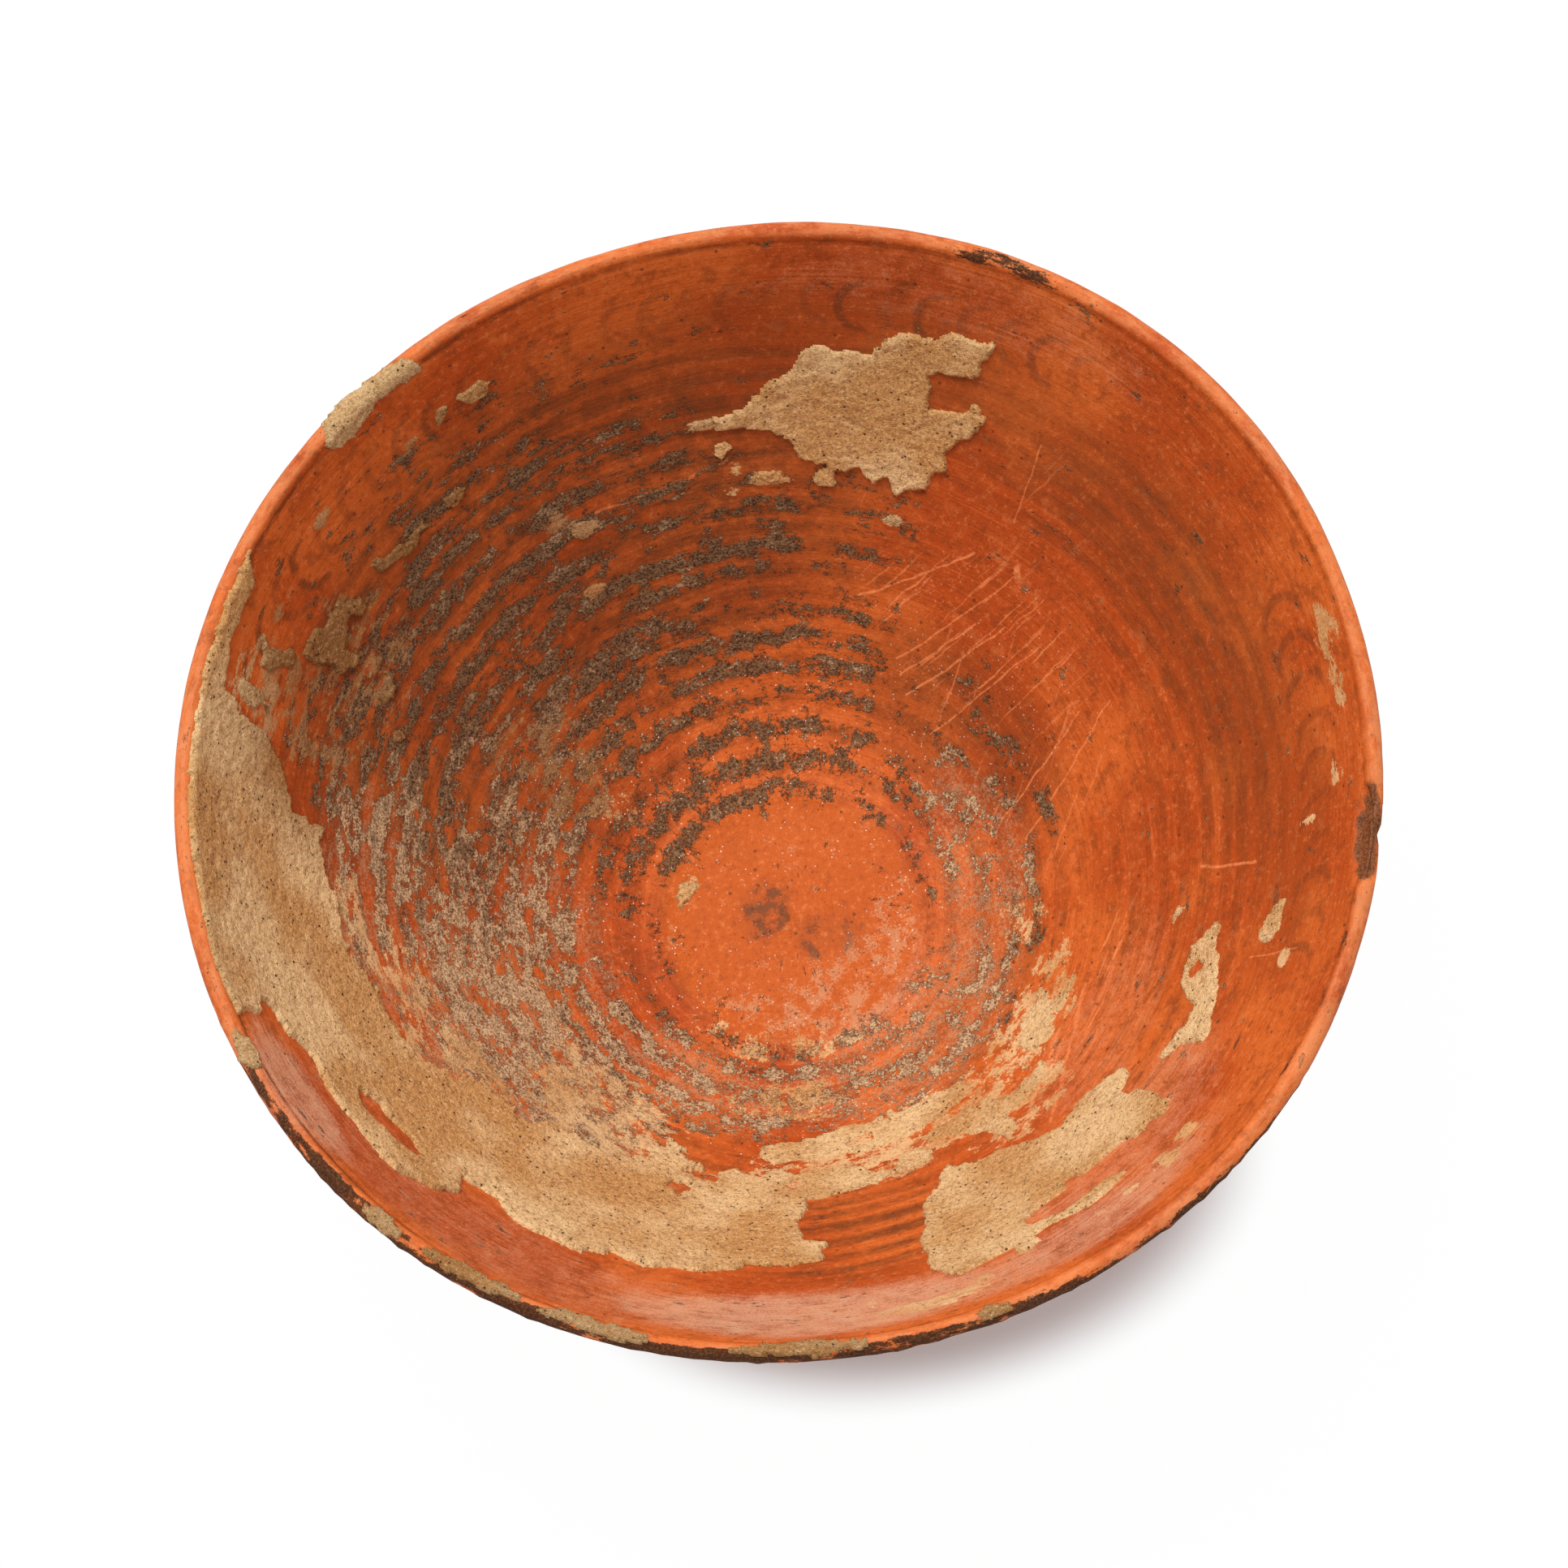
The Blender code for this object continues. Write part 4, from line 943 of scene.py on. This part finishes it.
class SlipFinish(Finish):
    """The vessel's finish. Each layer takes the colour below it and gives the colour with the layer on it."""

    def __init__(self):
        super().__init__("painted_slip")
        self.spot = self.place()
        unroll = self.node("ShaderNodeUVMap", {"uv_map": "unroll"})
        self.turn = self.node("ShaderNodeSeparateXYZ", {}, {0: unroll}, 0) * 360.0
        self.station = self.node("ShaderNodeSeparateXYZ", {}, {0: unroll}, 1) * 100.0
        angle = self.turn * math.radians(1.0)
        self.cosine, self.sine = angle.maths("COSINE", angle), angle.maths("SINE", angle)
        brushed, drawn_out = self.wrapped(5.0, 2.4), self.wrapped(52.0, 2.2)
        self.wide = self.speckle(self.spot, 34.0, 2.0)
        self.middling = self.speckle(self.spot, 5.0, 4.0, 0.65)
        self.patchy = self.speckle(drawn_out, 5.4, 6.0, 0.78)
        self.clotted = self.speckle(self.moved(drawn_out, 90.0), 5.0, 6.0, 0.78)
        self.ragged = self.speckle(drawn_out, 1.3, 4.0, 0.75)
        self.pitted = self.speckle(self.moved(self.spot, 40.0), 1.4, 3.0, 0.75)
        self.fine = self.speckle(self.spot, 0.5, 2.0, 0.75)
        self.streaks = self.speckle(brushed, 1.0, 4.0, 0.62)
        self.floor = self.station.eased(*FLOOR_STATIONS)

    def wrapped(self, radius, rise):
        """Places on a tube round the axis, so that noise there is drawn out round the bowl."""
        return self.node("ShaderNodeCombineXYZ", {}, {
            0: self.cosine * radius, 1: self.sine * radius, 2: self.station * rise})

    def fired_slip(self):
        """Slip that fired unevenly, with brush marks, pits and a darker wash that is partly painted shade in
        the far left.
        """
        outside = self.station.eased(102.0, 105.0)
        thin = self.middling.eased(0.36, 0.58) * 0.7 + self.streaks.eased(0.40, 0.60) * 0.4
        return self.coats(
            self.blend("deep_slip", "light_slip", self.wide.eased(0.38, 0.62)),
            dark_streak=self.streaks.eased(0.50, 0.34) * 0.4,
            light_streak=self.streaks.eased(0.54, 0.68) * 0.3,
            dark_mottle=self.middling.eased(0.48, 0.34) * (0.5 - outside * 0.32),
            light_mottle=self.middling.eased(0.56, 0.70) * 0.35,
            floor_slip=self.floor * 0.85,
            dark_pit=self.pitted.eased(0.47, 0.30) * 0.4,
            light_pit=self.pitted.eased(0.54, 0.70) * 0.35,
            dark_grain=self.fine.eased(0.44, 0.22) * 0.4,
            light_grain=self.fine.eased(0.60, 0.80) * 0.3,
            dark_wash=(self.zone("wash") * thin * 0.75).smaller(0.8))

    def bands(self, colour):
        """Painted bands, worn thin in patches."""
        painted = self.zone("band") * (self.zone("paint") * 0.85 + 0.10)
        painted = painted * (0.3 + self.patchy.eased(0.38, 0.60) * 0.7)
        return self.blend(colour, "band_paint", (painted * (0.6 + self.streaks * 0.5)).smaller(0.85))

    def strokes(self, colour):
        """A row of crescent strokes below the lip, each an arc of its own strength."""
        cell = (self.turn - STROKE_CLOCK) * (STROKE_COUNT / 360)
        number = cell.maths("FLOOR", cell)
        jitter = self.node("ShaderNodeTexWhiteNoise", {"noise_dimensions": "1D"}, {"W": number}, "Value")
        rightward = (cell - number) * STROKE_PITCH
        upward = (self.station - STROKE_STATION + jitter * 0.9) * (INSIDE_RUN / 100)
        upward = upward + (self.middling - 0.5) * 2.0
        squared = rightward * rightward + upward * upward
        reach = squared.maths("SQRT", squared)
        stroke = abs(reach - (STROKE_RADIUS + jitter * 1.4)).eased(1.5, 0.5) * abs(upward).eased(7.4, 5.6)
        stroke = stroke * self.zone("stroke") * (0.4 + jitter * 0.6) * self.patchy.eased(0.36, 0.52)
        return self.blend(colour, "stroke_paint", stroke * 0.8)

    def dust(self, colour):
        """Pale dust on the wall and the floor, and the floor's dark stain."""
        haze = self.zone("haze")
        middling, fine = self.middling - 0.5, self.fine - 0.5
        dusty = haze * 0.5 + middling * 0.7 + fine * 0.9 + (self.streaks - 0.5) * 0.6
        colour = self.blend(colour, "wall_dust", dusty.eased(0.0, 0.6) * haze * (1 - self.floor) * 0.9)
        settled = (haze * 0.55 + middling * 2.6 + fine * 1.6).eased(0.34, 0.56) * self.floor
        colour = self.blend(colour, "floor_dust", settled * 0.45)
        stain = self.zone("wash") * self.floor + middling * 2.4 + fine * 0.6
        return self.blend(colour, "floor_stain", stain.eased(0.55, 0.75) * self.floor * 0.75)

    def scratches(self, colour):
        """Scratches one by one, and families of fine furrows, all a little bent and broken."""
        bent = {"Vector": self.spot, "Scale": 0.16, "Detail": 1.0}
        bent = self.node("ShaderNodeTexNoise", {}, bent, "Color")
        plan = self.vector("ADD", self.spot, self.scaled(bent, SCRATCH_BEND))
        middle = -SCRATCH_BEND / 2
        plan = self.vector("MULTIPLY_ADD", plan, (1.0, 1.0, 0.0), (middle, middle, 0.0))
        scored = None
        for first_clock, first_station, last_clock, last_station, width, strength in SCRATCHES:
            ends = on_bowl(np.array((first_clock, last_clock)), np.array((first_station, last_station))) / MM
            line = self.near_line(plan, *ends).eased(0.8 * width, 0.2 * width) * strength
            scored = line if scored is None else scored.larger(line)
        scored = scored * self.station.eased(99.0, 98.0)
        for where, heading, strength in FURROWS:
            raked = self.node("ShaderNodeVectorRotate", {"rotation_type": "Z_AXIS"},
                              {"Vector": plan, "Angle": math.radians(-heading)})
            raked = self.vector("MULTIPLY", raked, (FURROW_STRETCH, 1.0, 0.0))
            furrow = self.speckle(raked, 1.0, 1.0, 0.5).eased(0.60, 0.72)
            scored = scored.larger(furrow * self.zone(where) * strength)
        scored = scored * self.fine.eased(0.24, 0.46) * (0.45 + self.pitted.eased(0.38, 0.54) * 0.55)
        return self.blend(colour, "scratch", scored * 0.75)

    def grit(self, colour):
        """Dusty bloom, and grit that is dark along the bands and pale in the bloom. Gives its cover too."""
        bloom = self.zone("bloom")
        patchy, ragged, fine = self.patchy - 0.5, self.ragged - 0.5, self.fine - 0.5
        spread = self.zone("grit") * 0.60 + bloom * 0.03 + self.zone("gritty") * 0.36 - 0.22
        spread = spread + patchy * 4.2 + ragged * 1.3 + (self.middling - 0.5) * 1.6 + fine * 0.8
        cover = spread.eased(0.42, 0.56)
        dusted = (bloom * 0.5 + ragged * 1.6 + patchy * 1.6 + fine * 1.2).eased(0.25, 0.65)
        colour = self.blend(colour, "bloom_dust", dusted * bloom * 0.6)
        grains = (self.fine * 0.65 + self.pitted * 0.35).eased(0.36, 0.64)
        dark = self.blend("dark_grit_low", "dark_grit_high", grains)
        pale = self.blend("pale_grit_low", "pale_grit_high", grains)
        tone = bloom * 0.62 + (self.clotted - 0.5) * 2.4 + ragged * 1.2
        return self.blend(colour, self.blend(dark, pale, tone.eased(0.0, 0.7)), cover * 0.92), cover

    def earth_film(self, colour):
        """A thin film of earth between the crusts. Gives its cover too."""
        zone = self.zone("film")
        film = zone * 0.66 + (self.clotted - 0.5) * 3.2 + (self.fine - 0.5) * 0.5
        film = film + (self.middling - 0.5) * 0.8 - (1 - zone.eased(0.0, 0.2)) * 0.6
        cover = film.eased(0.42, 0.50)
        earth, _ = self.earth_tone(self.spot)
        return self.blend(colour, self.blend(earth, "film_shade", 0.35), cover * 0.9), cover

    def specks(self, colour):
        """Pale specks in the hollow, and a few dark ones everywhere."""
        pale = self.cells(self.spot, 1.25).eased(0.17, 0.08) * self.middling.eased(0.42, 0.54)
        colour = self.blend(colour, "pale_speck", pale * self.zone("speck") * 0.9)
        return self.blend(colour, "dark_speck", self.cells(self.spot, 5.2).eased(0.10, 0.05) * 0.7)

    def lip(self, colour):
        """The lip's worn crest, painted shade in its groove, dirt on it that is partly painted shade on the
        near outside, and its chip. Gives the cover of that dirt and shade too.
        """
        worn = abs(self.station - CREST_STATION).eased(1.7, 0.5) * self.patchy.eased(0.38, 0.60)
        colour = self.blend(colour, "worn_lip", worn * 0.7)
        # Painted shade in the lip's groove, strongest on the left and none on the right
        groove = abs(self.station - GROOVE_SHADE_STATION).eased(0.7, 0.2) * self.clotted.eased(0.42, 0.56)
        groove = groove * (0.45 - self.cosine * 0.5).larger(0.0)
        colour = self.blend(colour, "groove_shade", groove * 0.8)
        # Dirt on the lip, partly painted shade on the near outside, in soil colours darkened for that shade
        zone = self.zone("dirt_and_shade")
        dirt_and_shade = (zone * 0.75 + (self.clotted - 0.5) * 2.6 + (self.fine - 0.5) * 0.5 - 0.1).eased(0.42, 0.58)
        soil_and_shade = self.blend("dark_soil_and_shade", "light_soil_and_shade", self.fine.eased(0.40, 0.75))
        colour = self.blend(colour, soil_and_shade, dirt_and_shade * zone.eased(0.0, 0.2) * 0.92)
        chip = (self.zone("chip") + (self.middling - 0.5) * 0.8).eased(0.25, 0.45)
        broken = self.blend("dark_chip", "light_chip", self.fine.eased(0.25, 0.75))
        return self.blend(colour, broken, chip), dirt_and_shade

    def bare_foot(self, colour):
        """Bare clay below the slip's end, which wavers. Gives its cover too."""
        edge = self.station + (self.wide - 0.5) * 9.0 + (self.middling - 0.5) * 3.0
        bare = edge.eased(SLIP_END - 0.5, SLIP_END + 0.5)
        clay = self.blend("dark_clay", "light_clay", self.middling.eased(0.35, 0.65))
        return self.blend(colour, clay, bare), bare


def slip_finish():
    """Red slip with painted bands and strokes, grit, scratches, worn lip and bare clay at the foot."""
    skin = SlipFinish()
    colour = skin.fired_slip()
    for layer in (skin.bands, skin.strokes, skin.dust, skin.scratches):
        colour = layer(colour)
    colour, grit = skin.grit(colour)
    colour, film = skin.earth_film(colour)
    colour = skin.specks(colour)
    colour, dirt_and_shade = skin.lip(colour)
    colour, bare = skin.bare_foot(colour)
    rough = 0.60 + grit.larger(film).larger(dirt_and_shade) * 0.35 + bare * 0.3
    skin.feed(Base_Color=colour, Roughness=rough.smaller(0.95), Specular_IOR_Level=0.2)
    skin.raise_surface(skin.fine * (0.3 + grit * 0.8) + grit * 0.6 + skin.streaks * 0.25, SLIP_BUMP)
    return skin.material


def earth_finish():
    """The finish of the crusts."""
    finish = Finish("dried_earth")
    colour, height = finish.earth_tone(finish.place())
    finish.feed(Base_Color=colour, Roughness=0.95, Specular_IOR_Level=0.07)
    finish.raise_surface(height, EARTH_BUMP)
    return finish.material


def floor_finish():
    """Floor that shows the bowl's shadow and is white elsewhere, as the camera sees it."""
    finish = Finish("white_floor")
    finish.feed(Base_Color=FLOOR_COLOUR, Roughness=1.0, Specular_IOR_Level=0.0)
    glow = finish.node("ShaderNodeEmission", {}, {"Color": WHITE, "Strength": 1.0})
    place = finish.place()
    radius = finish.vector("LENGTH", place, output="Value")
    shaded = finish.vector("SUBTRACT", place, (*SHADE_CENTRE, 0.0))
    shaded = finish.vector("DIVIDE", shaded, (*SHADE_HALF, 1.0))
    shaded = finish.vector("LENGTH", shaded, output="Value")
    own = radius.eased(*FLOOR_FADE) * shaded.eased(*SHADE_EDGE) * FLOOR_OWN
    lit = Field(finish, finish.shader.outputs[0])
    mixed = finish.node("ShaderNodeMixShader", {}, {0: finish.seen() * own, 1: lit, 2: glow})
    finish.put(mixed, finish.tree.nodes["Material Output"].inputs["Surface"])
    return finish.material


def studio():
    """White floor, soft key light from behind on the left, even fill, and the plain view transform."""
    shape = bmesh.new()
    bmesh.ops.create_grid(shape, x_segments=1, y_segments=1, size=FLOOR_REACH)
    mesh = bpy.data.meshes.new("floor")
    shape.to_mesh(mesh)
    shape.free()
    mesh.materials.append(floor_finish())
    floor = bpy.data.objects.new("floor", mesh)
    bpy.context.scene.collection.objects.link(floor)

    key = bpy.data.lights.new("key", "SUN")
    key.energy = KEY_STRENGTH
    key.angle = math.radians(KEY_SPREAD)
    lamp = bpy.data.objects.new("key", key)
    bpy.context.scene.collection.objects.link(lamp)
    azimuth, elevation = math.radians(KEY_CLOCK), math.radians(KEY_ELEVATION)
    towards = Vector((math.cos(azimuth) * math.cos(elevation), math.sin(azimuth) * math.cos(elevation),
                      math.sin(elevation)))
    lamp.rotation_euler = towards.to_track_quat("Z", "Y").to_euler()

    world = bpy.data.worlds.new("studio")
    world.use_nodes = True
    sky = NodeTree(world.node_tree)
    background = sky.tree.nodes["Background"]
    sky.put(WHITE, background.inputs["Color"])
    sky.put(FILL_STRENGTH + sky.seen() * (1.0 - FILL_STRENGTH), background.inputs["Strength"])
    bpy.context.scene.world = world
    bpy.context.scene.view_settings.view_transform = "Standard"


def camera():
    """The photograph's view: from above the near side, a little rolled."""
    lens = bpy.data.cameras.new("camera")
    lens.sensor_width = SENSOR_WIDTH
    lens.lens = PIXELS_PER_MM * CAMERA_DISTANCE * SENSOR_WIDTH / FRAME_PIXELS
    lens.shift_x = (FRAME_PIXELS / 2 - RIM_CENTRE_PIXEL[0]) / FRAME_PIXELS
    lens.shift_y = (RIM_CENTRE_PIXEL[1] - FRAME_PIXELS / 2) / FRAME_PIXELS
    eye = bpy.data.objects.new("camera", lens)
    bpy.context.scene.collection.objects.link(eye)
    elevation, roll = math.radians(CAMERA_ELEVATION), math.radians(CAMERA_ROLL)
    back = Vector((0, -math.cos(elevation), math.sin(elevation)))
    level = Vector((1, 0, 0))
    upright = Vector((0, math.sin(elevation), math.cos(elevation)))
    right = math.cos(roll) * level - math.sin(roll) * upright
    up = math.sin(roll) * level + math.cos(roll) * upright
    turn = Matrix((right, up, back)).transposed().to_4x4()
    centre = Vector((0, 0, HEIGHT * MM))
    eye.matrix_world = Matrix.Translation(centre + back * CAMERA_DISTANCE * MM) @ turn
    bpy.context.scene.camera = eye


def main():
    camera()
    studio()
    thrown_vessel(slip_finish())
    earth = earth_finish()
    for name, thickness, outline, windows in CRUSTS:
        earth_crust(name, thickness, outline, windows, earth)


main()
